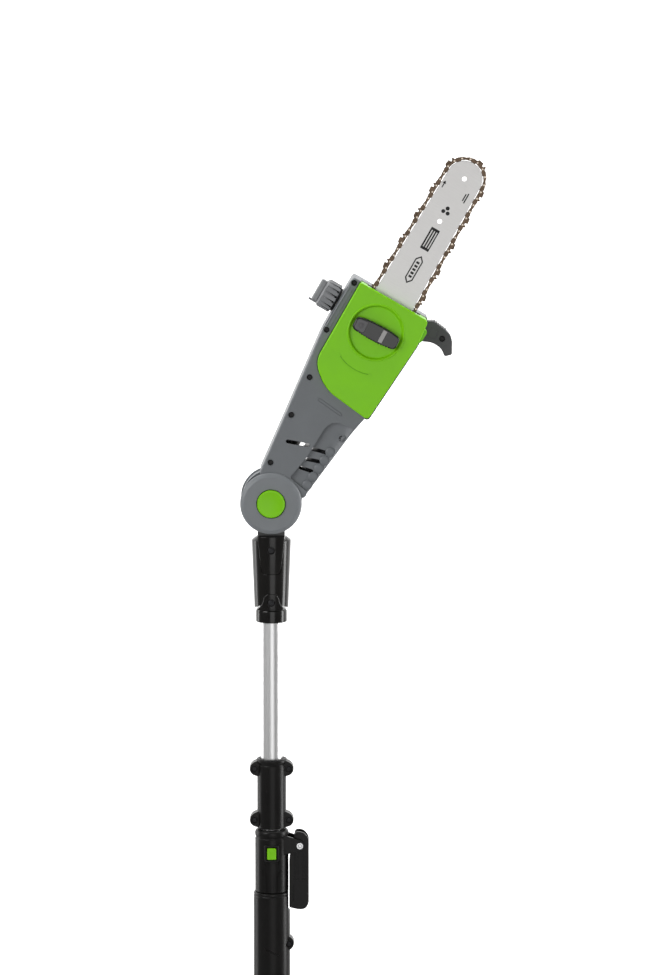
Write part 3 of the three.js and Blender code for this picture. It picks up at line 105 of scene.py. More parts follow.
# Each softbox: place, width, height and power; all face the middle of the saw.
softboxes = {
    "left_softbox": ((-2.4, -2.2, 2.6), 1.8, 1.8, 60),
    "right_strip": ((2.3, 0.1, 1.5), 0.7, 2.6, 46),
    "left_strip": ((-2.3, 0.9, 1.3), 0.5, 2.4, 16),
    "front_fill": ((0.6, -4.2, 1.2), 2.4, 2.4, 30),
    "top_light": ((0.2, 0.4, 4.2), 2.2, 2.2, 46),
}
for light_name, (place, width, height, power) in softboxes.items():
    lamp = bpy.data.lights.new(light_name, "AREA")
    lamp.shape = "RECTANGLE"
    lamp.size = width
    lamp.size_y = height
    lamp.energy = power
    softbox = bpy.data.objects.new(light_name, lamp)
    softbox.location = place
    softbox.rotation_euler = (Vector(place) - aim).to_track_quat("Z", "Y").to_euler()
    bpy.context.collection.objects.link(softbox)
world = bpy.data.worlds.new("studio")
world.use_nodes = True
world.node_tree.nodes["Background"].inputs["Color"].default_value = (1, 1, 1, 1)
world.node_tree.nodes["Background"].inputs["Strength"].default_value = 0.24
bpy.context.scene.world = world

# ---- outer tube ----
# A drawn aluminium tube with a hard black coat. It is clamped in the coupler at its upper end and in the
# rear handle at its lower end.
MM = 0.001


def spun(profile, centre=(0, 0), sides=96):
    """A turned shape about Z from [radius, height] points in millimetres, its height measured from the pivot."""
    bm = bmesh.new()
    points = [bm.verts.new((radius * MM, 0, height * MM + pivot.z)) for radius, height in profile]
    edges = [bm.edges.new(pair) for pair in zip(points, points[1:])]
    bmesh.ops.spin(
        bm, geom=points + edges, cent=(0, 0, 0), axis=(0, 0, 1), angle=2 * math.pi, steps=sides, use_merge=True
    )
    bmesh.ops.remove_doubles(bm, verts=bm.verts, dist=1e-6)
    bmesh.ops.recalc_face_normals(bm, faces=bm.faces)
    bmesh.ops.translate(bm, verts=bm.verts, vec=(centre[0] * MM, centre[1] * MM, 0))
    return bm


def hung(name, bm, material, body, stands_for=(), sharp=40, place=None):
    """Makes the finished piece: its place goes into the mesh, and it rides on a body of the frame."""
    if place is not None:
        bmesh.ops.transform(bm, matrix=place, verts=bm.verts)
    for edge in bm.edges:
        edge.smooth = edge.calc_face_angle(0) < math.radians(sharp)
    for face in bm.faces:
        face.smooth = True
    mesh = bpy.data.meshes.new(name)
    bm.to_mesh(mesh)
    bm.free()
    mesh.materials.append(material)
    made = bpy.data.objects.new(name, mesh)
    bpy.context.collection.objects.link(made)
    weighted = made.modifiers.new("even_shading", "WEIGHTED_NORMAL")
    weighted.keep_sharp = True
    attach(made, body)
    if stands_for:
        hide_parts(*stands_for)
    return made


def moulded(name, colour, roughness, grain=0.0006, depth=0.06, drift=0.06, coat=0.0, shine=0.5):
    """Moulded plastic: a fine spark-eroded grain, a faint drift of tone and slightly uneven gloss."""
    material = bpy.data.materials.new(name)
    material.use_nodes = True
    nodes = material.node_tree.nodes
    link = material.node_tree.links.new
    shader = nodes["Principled BSDF"]
    shader.inputs["Coat Weight"].default_value = coat
    shader.inputs["Specular IOR Level"].default_value = shine
    shader.inputs["Coat Roughness"].default_value = 0.12
    where = nodes.new("ShaderNodeTexCoord")
    fine = nodes.new("ShaderNodeTexNoise")
    fine.inputs["Scale"].default_value = 1 / grain
    fine.inputs["Detail"].default_value = 2
    link(where.outputs["Object"], fine.inputs["Vector"])
    broad = nodes.new("ShaderNodeTexNoise")
    broad.inputs["Scale"].default_value = 26
    broad.inputs["Detail"].default_value = 3
    link(where.outputs["Object"], broad.inputs["Vector"])
    tone = nodes.new("ShaderNodeValToRGB")
    tone.color_ramp.elements[0].position = 0.3
    tone.color_ramp.elements[1].position = 0.7
    tone.color_ramp.elements[0].color = (*[part * (1 - drift) for part in colour], 1)
    tone.color_ramp.elements[1].color = (*[min(1, part * (1 + drift)) for part in colour], 1)
    link(broad.outputs["Fac"], tone.inputs["Fac"])
    link(tone.outputs["Color"], shader.inputs["Base Color"])
    gloss = nodes.new("ShaderNodeMapRange")
    gloss.inputs["To Min"].default_value = roughness - 0.05
    gloss.inputs["To Max"].default_value = roughness + 0.07
    link(broad.outputs["Fac"], gloss.inputs["Value"])
    link(gloss.outputs["Result"], shader.inputs["Roughness"])
    bump = nodes.new("ShaderNodeBump")
    bump.inputs["Strength"].default_value = depth
    bump.inputs["Distance"].default_value = 0.0003
    link(fine.outputs["Fac"], bump.inputs["Height"])
    link(bump.outputs["Normal"], shader.inputs["Normal"])
    return material


def drawn_metal(name, colour, roughness, lines=(900, 900, 6), contrast=0.08, along=0.0):
    """Metal with fine drawing or grinding lines. The lines run along the axis with the smallest number."""
    material = bpy.data.materials.new(name)
    material.use_nodes = True
    nodes = material.node_tree.nodes
    link = material.node_tree.links.new
    shader = nodes["Principled BSDF"]
    shader.inputs["Metallic"].default_value = 1.0
    where = nodes.new("ShaderNodeTexCoord")
    turn = nodes.new("ShaderNodeMapping")
    turn.inputs["Rotation"].default_value = (0, -along, 0)
    stretch = nodes.new("ShaderNodeMapping")
    stretch.inputs["Scale"].default_value = lines
    link(where.outputs["Object"], turn.inputs["Vector"])
    link(turn.outputs["Vector"], stretch.inputs["Vector"])
    streaks = nodes.new("ShaderNodeTexNoise")
    streaks.inputs["Scale"].default_value = 1
    streaks.inputs["Detail"].default_value = 4
    link(stretch.outputs["Vector"], streaks.inputs["Vector"])
    tone = nodes.new("ShaderNodeValToRGB")
    tone.color_ramp.elements[0].color = (*[part * (1 - contrast) for part in colour], 1)
    tone.color_ramp.elements[1].color = (*[min(1, part * (1 + contrast)) for part in colour], 1)
    link(streaks.outputs["Fac"], tone.inputs["Fac"])
    link(tone.outputs["Color"], shader.inputs["Base Color"])
    gloss = nodes.new("ShaderNodeMapRange")
    gloss.inputs["To Min"].default_value = roughness - 0.06
    gloss.inputs["To Max"].default_value = roughness + 0.08
    link(streaks.outputs["Fac"], gloss.inputs["Value"])
    link(gloss.outputs["Result"], shader.inputs["Roughness"])
    bump = nodes.new("ShaderNodeBump")
    bump.inputs["Strength"].default_value = 0.05
    bump.inputs["Distance"].default_value = 0.0002
    link(streaks.outputs["Fac"], bump.inputs["Height"])
    link(bump.outputs["Normal"], shader.inputs["Normal"])
    return material


def heights(node):
    """The lowest and highest points of a node of the frame, in millimetres from the pivot."""
    low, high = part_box(node)
    return (low[2] - pivot.z) / MM, (high[2] - pivot.z) / MM


def tube(outer, wall, bottom, top, lip=0.4):
    """A tube with softened ends."""
    inner = outer - wall
    profile = [
        (inner, bottom + lip),
        (inner + lip, bottom),
        (outer - lip, bottom),
        (outer, bottom + lip),
        (outer, top - lip),
        (outer - lip, top),
        (inner + lip, top),
        (inner, top - lip),
        (inner, bottom + lip),
    ]
    return spun(profile)


black_tube_coat = moulded("black_tube_coat", (0.012, 0.012, 0.013), 0.34, grain=0.0009, depth=0.05)
outer_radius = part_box("outer_tube")[1][0] / MM
hung(
    "pole_outer_tube",
    tube(outer_radius, 1.6, *heights("outer_tube")),
    black_tube_coat,
    "handle",
    ["outer_tube"]
)

# ---- inner tube ----
# The silver tube that slides in the outer one, of extruded aluminium with a clear satin anodising, and
# the plastic bush on its lower end that guides it.
satin_aluminium = drawn_metal(
    "satin_aluminium", (0.80, 0.80, 0.80), 0.36, lines=(700, 700, 5), contrast=0.04
)
inner_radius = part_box("inner_tube")[1][0] / MM
hung(
    "pole_inner_tube",
    tube(inner_radius, 1.4, *heights("inner_tube")),
    satin_aluminium,
    "upper_pole",
    ["inner_tube"]
)
black_rubber = moulded("black_rubber", (0.014, 0.014, 0.015), 0.72, grain=0.0005, depth=0.12)
for rubber_node in ("tube_bush", "coiled_lead", "cam_shoe"):
    frame["nodes"][rubber_node].data.materials.clear()
    frame["nodes"][rubber_node].data.materials.append(black_rubber)

# ---- guide sleeve ----
# Two moulded halves that meet on the parting plane and carry the inner tube. A flared mouth guards the
# tube, and four lugs take the screws that draw the halves together.


def plate(corners, front, back, steps=8):
    """A flat plate from [x, z, corner rounding] points in millimetres, between two depths along Y."""
    bm = bmesh.new()
    verts = [bm.verts.new((corner[0] * MM, back * MM, corner[1] * MM)) for corner in corners]
    bm.faces.new(verts)
    for vert, corner in zip(verts, corners):
        if len(corner) > 2:
            bmesh.ops.bevel(
                bm,
                geom=[vert],
                offset=corner[2] * MM,
                segments=steps,
                profile=0.5,
                material=-1,
                affect="VERTICES",
            )
    grown = bmesh.ops.extrude_face_region(bm, geom=bm.faces[:])
    moved = [part for part in grown["geom"] if isinstance(part, bmesh.types.BMVert)]
    bmesh.ops.translate(bm, verts=moved, vec=(0, (front - back) * MM, 0))
    bmesh.ops.recalc_face_normals(bm, faces=bm.faces)
    return bm


def pad(corners, front, back, width=1.0, steps=4, corner_steps=8):
    """A plate whose front and back edges are rounded by rings of insets along a quarter circle."""
    bm = plate(corners, front + width, back - width, corner_steps)
    for way in (-1, 1):
        bm.normal_update()
        face = max(bm.faces, key=lambda candidate: candidate.normal.y * way * candidate.calc_area())
        for index in range(steps):
            low, high = (math.radians(90) * count / steps for count in (index, index + 1))
            bmesh.ops.inset_region(
                bm,
                faces=[face],
                thickness=width * MM * (math.cos(low) - math.cos(high)),
                depth=width * MM * (math.sin(high) - math.sin(low)),
                use_even_offset=True,
            )
    return bm


def box(x, y, z):
    """A block between two [low, high] limits along each axis, in millimetres."""
    bm = bmesh.new()
    size = [(high - low) * MM for low, high in (x, y, z)]
    middle = [(high + low) / 2 * MM for low, high in (x, y, z)]
    bmesh.ops.create_cube(bm, size=1, matrix=Matrix.Translation(middle) @ Matrix.Diagonal((*size, 1)))
    return bm


def peg(radius, front, back, centre, sides=48, back_radius=None):
    """A round peg along Y at [x, z]."""
    bm = bmesh.new()
    bmesh.ops.create_cone(
        bm,
        cap_ends=True,
        segments=sides,
        radius1=radius * MM,
        radius2=(radius if back_radius is None else back_radius) * MM,
        depth=(back - front) * MM,
        matrix=Matrix.Translation((centre[0] * MM, (front + back) / 2 * MM, centre[1] * MM))
        @ Matrix.Rotation(math.radians(-90), 4, "X"),
    )
    return bm


def shaped(base, *steps):
    """Joins, cuts or intersects closed shapes in turn: each step is an operation and a shape."""
    work = bpy.data.objects.new("work", bpy.data.meshes.new("work"))
    base.to_mesh(work.data)
    base.free()
    bpy.context.collection.objects.link(work)
    tools = []
    for operation, shape in steps:
        tool = bpy.data.objects.new("tool", bpy.data.meshes.new("tool"))
        shape.to_mesh(tool.data)
        shape.free()
        bpy.context.collection.objects.link(tool)
        tools.append(tool)
        modifier = work.modifiers.new(operation, "BOOLEAN")
        modifier.operation = operation
        modifier.solver = "EXACT"
        modifier.object = tool
    evaluated = work.evaluated_get(bpy.context.evaluated_depsgraph_get())
    result = bmesh.new()
    result.from_mesh(evaluated.to_mesh())
    evaluated.to_mesh_clear()
    for used in (work, *tools):
        spent = used.data
        bpy.data.objects.remove(used)
        bpy.data.meshes.remove(spent)
    bmesh.ops.remove_doubles(result, verts=result.verts, dist=2e-6)
    bmesh.ops.dissolve_degenerate(result, dist=2e-6, edges=result.edges)
    return result


def softened(bm, width, steps=2, angle=35):
    """Rounds every edge that is sharper than the angle."""
    bmesh.ops.dissolve_limit(bm, angle_limit=math.radians(0.5), verts=bm.verts, edges=bm.edges)
    sharp = [
        edge for edge in bm.edges if len(edge.link_faces) == 2 and edge.calc_face_angle() > math.radians(angle)
    ]
    bmesh.ops.bevel(
        bm,
        geom=sharp,
        offset=width * MM,
        segments=steps,
        profile=0.5,
        material=-1,
        affect="EDGES",
    )
    return bm


def lifted(bm):
    """Moves a shape made about the pivot to the pivot's height."""
    bmesh.ops.translate(bm, verts=bm.verts, vec=(0, 0, pivot.z))
    return bm


HALF_GAP = 0.12
RUN = 60


def front_half():
    return lifted(box((-RUN, RUN), (-RUN, -HALF_GAP), (-1700, 300)))


def rear_half():
    return lifted(box((-RUN, RUN), (HALF_GAP, RUN), (-1700, 300)))


def screw(seat, centre, radius=3.6, recess=0.9):
    """A pan-head screw along Y with a cross recess, its head standing in front of the seat."""
    x, z = centre
    head = peg(radius, seat - 1.2, seat + 1.5, centre, sides=32)
    dome = peg(radius * 0.72, seat - 2.1, seat - 0.9, centre, sides=32, back_radius=radius * 0.96)
    slot_a = box((x - radius * 0.62, x + radius * 0.62), (seat - 3, seat - recess), (z - 0.45, z + 0.45))
    slot_b = box((x - 0.45, x + 0.45), (seat - 3, seat - recess), (z - radius * 0.62, z + radius * 0.62))
    return shaped(head, ("UNION", dome), ("DIFFERENCE", slot_a), ("DIFFERENCE", slot_b))


black_satin = moulded(
    "black_satin_plastic", (0.0065, 0.0060, 0.0058), 0.31, grain=0.0007, depth=0.10, drift=0.12, shine=0.2
)
dark_screw_steel = drawn_metal(
    "dark_screw_steel", (0.035, 0.035, 0.037), 0.42, lines=(400, 400, 400), contrast=0.2
)

sleeve_low, sleeve_mouth = heights("guide_sleeve_front")
lug_x = 22.7
lug_reach = 6.0
lug_half = 8.2
lug_front = -8.6
lug_rows = (sleeve_mouth - 13.6, sleeve_low + 11)
mouth_profile = [
    (14.6, sleeve_low),
    (18.6, sleeve_low),
    (19.0, sleeve_low + 0.6),
    (19.0, sleeve_mouth - 9),
    (18.3, sleeve_mouth - 8.4),
    (18.3, sleeve_mouth - 7.4),
    (19.6, sleeve_mouth - 6.2),
    (20.3, sleeve_mouth - 4),
    (20.3, sleeve_mouth - 1.8),
    (19.2, sleeve_mouth - 0.5),
    (17.8, sleeve_mouth),
    (16.0, sleeve_mouth - 1.6),
    (14.6, sleeve_mouth - 4),
    (14.6, sleeve_low),
]


def lug(centre_z, side, front, back):
    """A rounded screw lug that stands out of the sleeve's side, wider at its root."""
    root = side * 15
    tip = side * (lug_x + lug_reach)
    corners = [
        (root, centre_z - lug_half - 2.5),
        (tip, centre_z - lug_half * 0.8, 6.4),
        (tip, centre_z + lug_half * 0.8, 6.4),
        (root, centre_z + lug_half + 4.5),
    ]
    return lifted(plate(corners if side > 0 else corners[::-1], front, back))


for half_name, half, lug_span, node in (
    ("front", front_half, (lug_front, -0.1), "guide_sleeve_front"),
    ("rear", rear_half, (0.1, -lug_front), "guide_sleeve_rear"),
):
    steps = [("UNION", lug(z, side, *lug_span)) for z in lug_rows for side in (-1, 1)]
    steps += [("INTERSECT", half())]
    bore = spun(
        [(0, sleeve_low - 5), (14.6, sleeve_low - 5), (14.6, sleeve_mouth + 5), (0, sleeve_mouth + 5)],
        sides=96
    )
    steps += [("DIFFERENCE", bore)]
    if half_name == "front":
        for z in lug_rows:
            for x in (-lug_x, lug_x):
                steps += [("DIFFERENCE", lifted(peg(4.3, -RUN, lug_front + 3.2, (x, z))))]
    shell = softened(shaped(spun(mouth_profile), *steps), 0.45)
    hung("guide_shell_" + half_name, shell, black_satin, "handle", [node])
for row_name, z in zip(("upper", "lower"), lug_rows):
    for side_name, x in (("left", -lug_x), ("right", lug_x)):
        made = lifted(screw(lug_front + 3.2, (x, z)))
        name = row_name + "_" + side_name
        hung("guide_sleeve_screw_" + name, made, dark_screw_steel, "handle", ["guide_screw_" + name])

# ---- coupler ----
# A moulded body below the guide sleeve, with a rounded rim. It carries the green release button in a
# framed pocket, raised ribs below it, and two lugs on the right for the lock lever's pin.
coupler_low, coupler_top = heights("coupler")
coupler_radius = 21.9
button_low, button_top = heights("release_button")
button_middle = (button_low + button_top) / 2
button_half_x = 5.85
pin_x, pin_z = 37, -456
lug_inner = 11.3
coupler_profile = [
    (17.6, coupler_low),
    (21.2, coupler_low),
    (coupler_radius, coupler_low + 0.7),
    (coupler_radius, coupler_top - 12.2),
    (20.9, coupler_top - 11.4),
    (20.9, coupler_top - 9.6),
    (coupler_radius, coupler_top - 8.8),
    (coupler_radius + 0.3, coupler_top - 5),
    (coupler_radius - 0.5, coupler_top - 2.2),
    (coupler_radius - 2.6, coupler_top - 0.6),
    (18.2, coupler_top),
    (14.7, coupler_top),
    (14.7, coupler_top - 40),
    (17.6, coupler_top - 42),
    (17.6, coupler_low),
]


def proud(corners, rise, depth=3, steps=6):
    """A raised pad that follows the coupler's curve, cut from a plate by a slightly larger cylinder."""
    pad = lifted(plate(corners, -coupler_radius - 5, -10, steps))
    outer = spun(
        [(0, -560), (coupler_radius + rise, -560), (coupler_radius + rise, -420), (0, -420)],
        sides=96,
    )
    inner = spun(
        [(0, -570), (coupler_radius - depth, -570), (coupler_radius - depth, -410), (0, -410)], sides=96
    )
    return shaped(pad, ("INTERSECT", outer), ("DIFFERENCE", inner))


def rib(points, width):
    """A narrow rib on the coupler's curve along straight runs between points."""
    runs = []
    for (x0, z0), (x1, z1) in zip(points, points[1:]):
        along = Vector((x1 - x0, z1 - z0)).normalized()
        side = Vector((-along.y, along.x)) * width / 2
        run = [
            (x0 - side.x - along.x * 0.2, z0 - side.y - along.y * 0.2, width * 0.4),
            (x1 - side.x + along.x * 0.2, z1 - side.y + along.y * 0.2, width * 0.4),
            (x1 + side.x + along.x * 0.2, z1 + side.y + along.y * 0.2, width * 0.4),
            (x0 + side.x - along.x * 0.2, z0 + side.y - along.y * 0.2, width * 0.4),
        ]
        runs.append(proud(run, 0.7, depth=2, steps=3))
    return runs


frame_z = (button_low - 3.4, button_top + 3.4)
frame_x = button_half_x + 3.6
steps = [
    ("UNION", lifted(plate(
        [
            (-frame_x, frame_z[0], 2), (frame_x, frame_z[0], 2), (frame_x, frame_z[1], 2),
            (-frame_x, frame_z[1], 2)
        ],
        -coupler_radius - 1.2,
        -12,
    ))),
    ("DIFFERENCE", lifted(plate(
        [
            (-button_half_x - 1.6, frame_z[0] + 1.8, 2),
            (button_half_x + 1.6, frame_z[0] + 1.8, 2),
            (button_half_x + 1.6, frame_z[1] - 1.8, 2),
            (-button_half_x - 1.6, frame_z[1] - 1.8, 2),
        ],
        -RUN,
        -coupler_radius + 0.9,
    ))),
    ("DIFFERENCE", lifted(box(
        (-button_half_x - 0.4, button_half_x + 0.4), (-RUN, -17.6), (button_low - 0.4, button_top + 0.4)
    ))),
]
for side in (-1, 1):
    near, far = sorted((side * lug_inner, side * (lug_inner + 4)))
    steps += [("UNION", lifted(plate(
        [
            (10, pin_z - 14), (pin_x + 5, pin_z - 5, 5), (pin_x + 5, pin_z + 6, 5), (10, pin_z + 16)
        ], near, far
    )))]
bore = spun(
    [(0, -600), (17.6, -600), (17.6, coupler_top - 41), (16.1, coupler_top - 40), (16.1, -400), (0, -400)]
)
steps += [("DIFFERENCE", bore)]
steps += [("DIFFERENCE", lifted(box((10, RUN), (-6.6, 6.6), (pin_z - 8.6, pin_z + 8.6))))]
steps += [("DIFFERENCE", lifted(peg(19.7, -11.4, 11.4, (pin_x, pin_z), sides=96)))]
hung(
    "coupler_body", softened(shaped(spun(coupler_profile), *steps), 0.4), black_satin, "handle", ["coupler"]
)
u_low = button_low - 6.2
for index, (points, width) in enumerate((
    ([(-11.5, u_low + 5), (-9.5, u_low), (9.5, u_low), (11.5, u_low + 5)], 1.5),
    ([(-14, u_low - 10), (-7.5, u_low - 15.5), (-7.2, coupler_low + 1.5)], 1.3),
    ([(14, u_low - 10), (8.5, u_low - 15.5), (8.2, coupler_low + 1.5)], 1.3),
    ([(-2.4, u_low - 17), (-2.4, coupler_low + 1.5)], 0.9),
    ([(3.2, u_low - 17), (3.2, coupler_low + 1.5)], 0.9),
)):
    for count, run in enumerate(rib(points, width)):
        hung(f"coupler_rib_{index}_{count}", run, black_satin, "handle")

green_gloss = moulded(
    "green_gloss_plastic", (0.215, 0.630, 0.0), 0.34, grain=0.0011, depth=0.03, drift=0.03, shine=0.28
)
button_front, button_back = (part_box("release_button")[i][1] / MM for i in (0, 1))
button = plate(
    [
        (-button_half_x, button_low, 1.4),
        (button_half_x, button_low, 1.4),
        (button_half_x, button_top, 1.4),
        (-button_half_x, button_top, 1.4),
    ],
    button_front,
    button_back,
    steps=5,
)
hung("release_key", softened(lifted(button), 0.5, steps=3), green_gloss, "release", ["release_button"])
for index in range(3):
    z = button_middle + (index - 1) * 3.2
    bar = lifted(
        softened(box((-3.6, 3.6), (button_front - 0.0, button_front + 0.6), (z - 0.5, z + 0.5)), 0.2)
    )
    bmesh.ops.translate(bar, verts=bar.verts, vec=(0, -0.3 * MM, 0))
    hung(f"release_key_grip_{index}", bar, green_gloss, "release")

# ---- lock lever ----
# The flip lever that clamps the telescope: a hollow moulding with ribs down its flat, which swings on a
# bright steel pin between the coupler's lugs.
lever_low, lever_top = heights("lock_lever")
lever_inner, lever_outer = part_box("lock_lever")[0][0] / MM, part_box("lock_lever")[1][0] / MM
lever_corners = [
    (lever_inner, lever_low + 3, 2),
    (lever_inner + 14, lever_low, 3),
    (lever_outer - 4.5, lever_low + 1.2, 3),
    (lever_outer, lever_low + 8, 4),
    (lever_outer, lever_top - 8, 5),
    (lever_outer - 8, lever_top, 4),
    (lever_inner + 8, lever_top, 3),
    (lever_inner + 2.2, pin_z - 6, 4),
    (lever_inner, pin_z - 20, 3),
]
lever_half = 10.8
steps = [("DIFFERENCE", lifted(peg(2.6, -RUN, RUN, (pin_x, pin_z))))]
for x in (lever_inner + 6.2, lever_inner + 10.2, lever_inner + 16.6, lever_inner + 20.4):
    steps += [("DIFFERENCE", lifted(plate(
        [
            (x, lever_low + 40, 0.9), (x + 2.1, lever_low + 40, 0.9), (x + 2.1, pin_z - 9, 0.9),
            (x, pin_z - 9, 0.9)
        ],
        -RUN,
        -lever_half + 1.3,
        steps=3,
    )))]
steps += [
    (
        "DIFFERENCE",
        lifted(
            box(
                (lever_inner + 4.4, lever_inner + 6),
                (-RUN, -lever_half + 2),
                (lever_low + 12, lever_low + 34)
            )
        )
    )
]
steps += [("DIFFERENCE", lifted(plate(
    [
        (lever_inner + 6, pin_z + 4, 1),
        (lever_inner + 10, pin_z + 4, 1),
        (lever_inner + 10, lever_top - 3, 1),
        (lever_inner + 6, lever_top - 3, 1)
    ],
    -RUN,
    -lever_half + 1.6,
    steps=3,
)))]
steps += [("DIFFERENCE", lifted(box((0, lever_outer - 4), (-7, 7), (pin_z - 24, lever_top + 1))))]
steps += [("DIFFERENCE", lifted(box((pin_x, lever_outer + 1), (-7, 7), (pin_z + 5, lever_top + 1))))]
steps += [("DIFFERENCE", lifted(peg(lever_outer - pin_x - 1.2, -7, 7, (pin_x, pin_z))))]
lever_shape = shaped(lifted(pad(lever_corners, -lever_half, lever_half, 1.0)), *steps)
hung("cam_lever", lever_shape, black_satin, "lever", ["lock_lever"])
bright_steel = drawn_metal("bright_steel", (0.62, 0.62, 0.63), 0.22, lines=(300, 300, 300), contrast=0.05)
pin_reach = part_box("lever_pin")[1][1] / MM
pin = softened(lifted(peg(2.2, -pin_reach, pin_reach, (pin_x, pin_z))), 0.5)
hung("lever_pivot_pin", pin, bright_steel, "handle", ["lever_pin"])
washer = shaped(
    lifted(peg(4.2, -lug_inner - 4.8, -lug_inner - 4.05, (pin_x, pin_z))),
    ("DIFFERENCE", lifted(peg(2.3, -RUN, RUN, (pin_x, pin_z)))),
)
hung("lever_pin_washer", softened(washer, 0.15), bright_steel, "handle")

# ---- fore grip ----
# Two long moulded halves round the outer tube, screwed together through lugs down the right side.
grip_low, grip_top = heights("fore_grip_front")
grip_radius = 24
grip_profile = [
    (17.6, grip_low),
    (20.5, grip_low),
    (grip_radius - 0.6, grip_low + 3),
    (grip_radius, grip_low + 5),
    (grip_radius, grip_top - 5.2),
    (grip_radius - 0.7, grip_top - 4.6),
    (grip_radius - 0.7, grip_top - 3.8),
    (grip_radius - 0.1, grip_top - 3),
    (grip_radius - 0.5, grip_top - 0.6),
    (grip_radius - 1.6, grip_top),
    (17.6, grip_top),
    (17.6, grip_low),
]
ear_x = 22.9
ear_rows = (-589, -668, -742)
for half_name, half, span, node in (
    ("front", front_half, (lug_front, -0.1), "fore_grip_front"),
    ("rear", rear_half, (0.1, -lug_front), "fore_grip_rear"),
):
    steps = []
    for z in ear_rows:
        ear = plate(
            [(16, z - 12), (ear_x + 6.2, z - 5, 6), (ear_x + 6.2, z + 7, 6), (16, z + 13)], *span
        )
        steps += [("UNION", lifted(ear))]
    bore = spun([(0, grip_low - 5), (17.6, grip_low - 5), (17.6, grip_top + 5), (0, grip_top + 5)])
    steps += [("INTERSECT", half()), ("DIFFERENCE", bore)]
    lever_room = box((lever_inner - 1.4, RUN), (-lever_half - 1.2, lever_half + 1.2), (lever_low - 2, 0))
    steps += [("DIFFERENCE", lifted(lever_room))]
    if half_name == "front":
        steps += [("DIFFERENCE", lifted(peg(4.4, -RUN, lug_front + 3, (ear_x, z)))) for z in ear_rows]
        seam = box((-30, 30), (-RUN, -grip_radius + 2.0), (-0.35, 0.35))
        bmesh.ops.rotate(
            seam, verts=seam.verts, cent=(0, 0, 0), matrix=Matrix.Rotation(math.radians(26), 3, "Y")
        )
        bmesh.ops.translate(seam, verts=seam.verts, vec=(12 * MM, 0, -603 * MM))
        steps += [("DIFFERENCE", lifted(seam))]
    shell = softened(shaped(spun(grip_profile), *steps), 0.4)
    hung("grip_shell_" + half_name, shell, black_satin, "handle", [node])
for index, z in enumerate(ear_rows):
    hung(f"grip_screw_{index + 1}", lifted(screw(lug_front + 3, (ear_x, z))), dark_screw_steel, "handle")

# ---- yoke ----
# The tilting head's neck: two moulded halves with a curved tongue, set in the window of a tapered
# sleeve that clamps them to the tube. A plain collar closes the sleeve's lower end.
gloss_black = moulded(
    "gloss_black_plastic", (0.0070, 0.0064, 0.0058), 0.19, grain=0.0009, depth=0.05, drift=0.10, shine=0.36
)
collar_low, collar_top = heights("tube_collar")
sleeve_top = heights("neck_sleeve")[1]
taper_profile = [
    (14.6, collar_top + 0.3),
    (21.7, collar_top + 0.3),
    (22.1, collar_top + 0.8),
    (25.6, sleeve_top - 5.4),
    (25.2, sleeve_top - 4.2),
    (20.4, sleeve_top - 0.4),
    (19.2, sleeve_top),
    (14.6, sleeve_top),
    (14.6, collar_top + 0.3),
]
tongue_points = [
    (-17.6, -45.3), (-17.6, -50), (-12.2, -94.6, 5), (12.2, -94.6, 5), (17.6, -50), (17.6, -45.3)
]


def tongue(front, back, swell, shrink=0.0):
    """The neck's tongue: a tapered plate whose face follows the sleeve's cone."""
    corners = [(x - math.copysign(shrink, x), *rest) for x, *rest in tongue_points]
    follow = spun([(0, -100), (22.9 + swell, -100), (26.6 + swell, -45), (0, -45)], sides=96)
    return shaped(lifted(plate(corners, front, back)), ("INTERSECT", follow))


window = lifted(plate([(x + math.copysign(0.35, x), z, *rest) for x, z, *rest in tongue_points], -RUN, RUN))
wedge_cuts = []
for side in (-1, 1):
    wedge = box((-9, 9), (-RUN, RUN), (-3.2, 0))
    bmesh.ops.rotate(
        wedge, verts=wedge.verts, cent=(0, 0, 0), matrix=Matrix.Rotation(math.radians(31 * side), 3, "Y")
    )
    bmesh.ops.translate(wedge, verts=wedge.verts, vec=(side * 22.6 * MM, 0, (collar_top + 1.9) * MM))
    wedge_cuts.append(("DIFFERENCE", lifted(wedge)))
arch = shaped(
    lifted(
        plate(
            [
                (-19.5, collar_top + 0.4), (19.5, collar_top + 0.4), (10.6, collar_top + 9, 5),
                (9.6, -120.5, 8), (-9.6, -120.5, 8), (-10.6, collar_top + 9, 5)
            ],
            -RUN,
            -10
        )
    ),
    ("INTERSECT", spun([(0, -150), (22.6, -150), (24.6, -118), (0, -118)], sides=96)),
)
taper = shaped(
    spun(taper_profile, sides=96),
    *wedge_cuts,
    ("UNION", arch),
    ("DIFFERENCE", window),
    ("DIFFERENCE", spun([(0, -175), (14.6, -175), (14.6, -98), (12.9, -97.6), (12.9, -40), (0, -40)])),
    ("DIFFERENCE", lifted(peg(4.5, -RUN, -21.2, (0, -132)))),
)
hung("yoke_sleeve", softened(taper, 0.45), gloss_black, "upper_pole", ["neck_sleeve"])
collar = spun([
    (14.6, collar_low), (19.2, collar_low), (
        20.1, collar_low + 0.5
    ), (20.3, collar_low + 1.4), (20.3, collar_top - 2.4),
    (19.4, collar_top - 0.3), (14.6, collar_top - 0.3), (14.6, collar_low),
], sides=96)
hung("yoke_collar", collar, gloss_black, "upper_pole", ["tube_collar"])
disc_half = 13.2
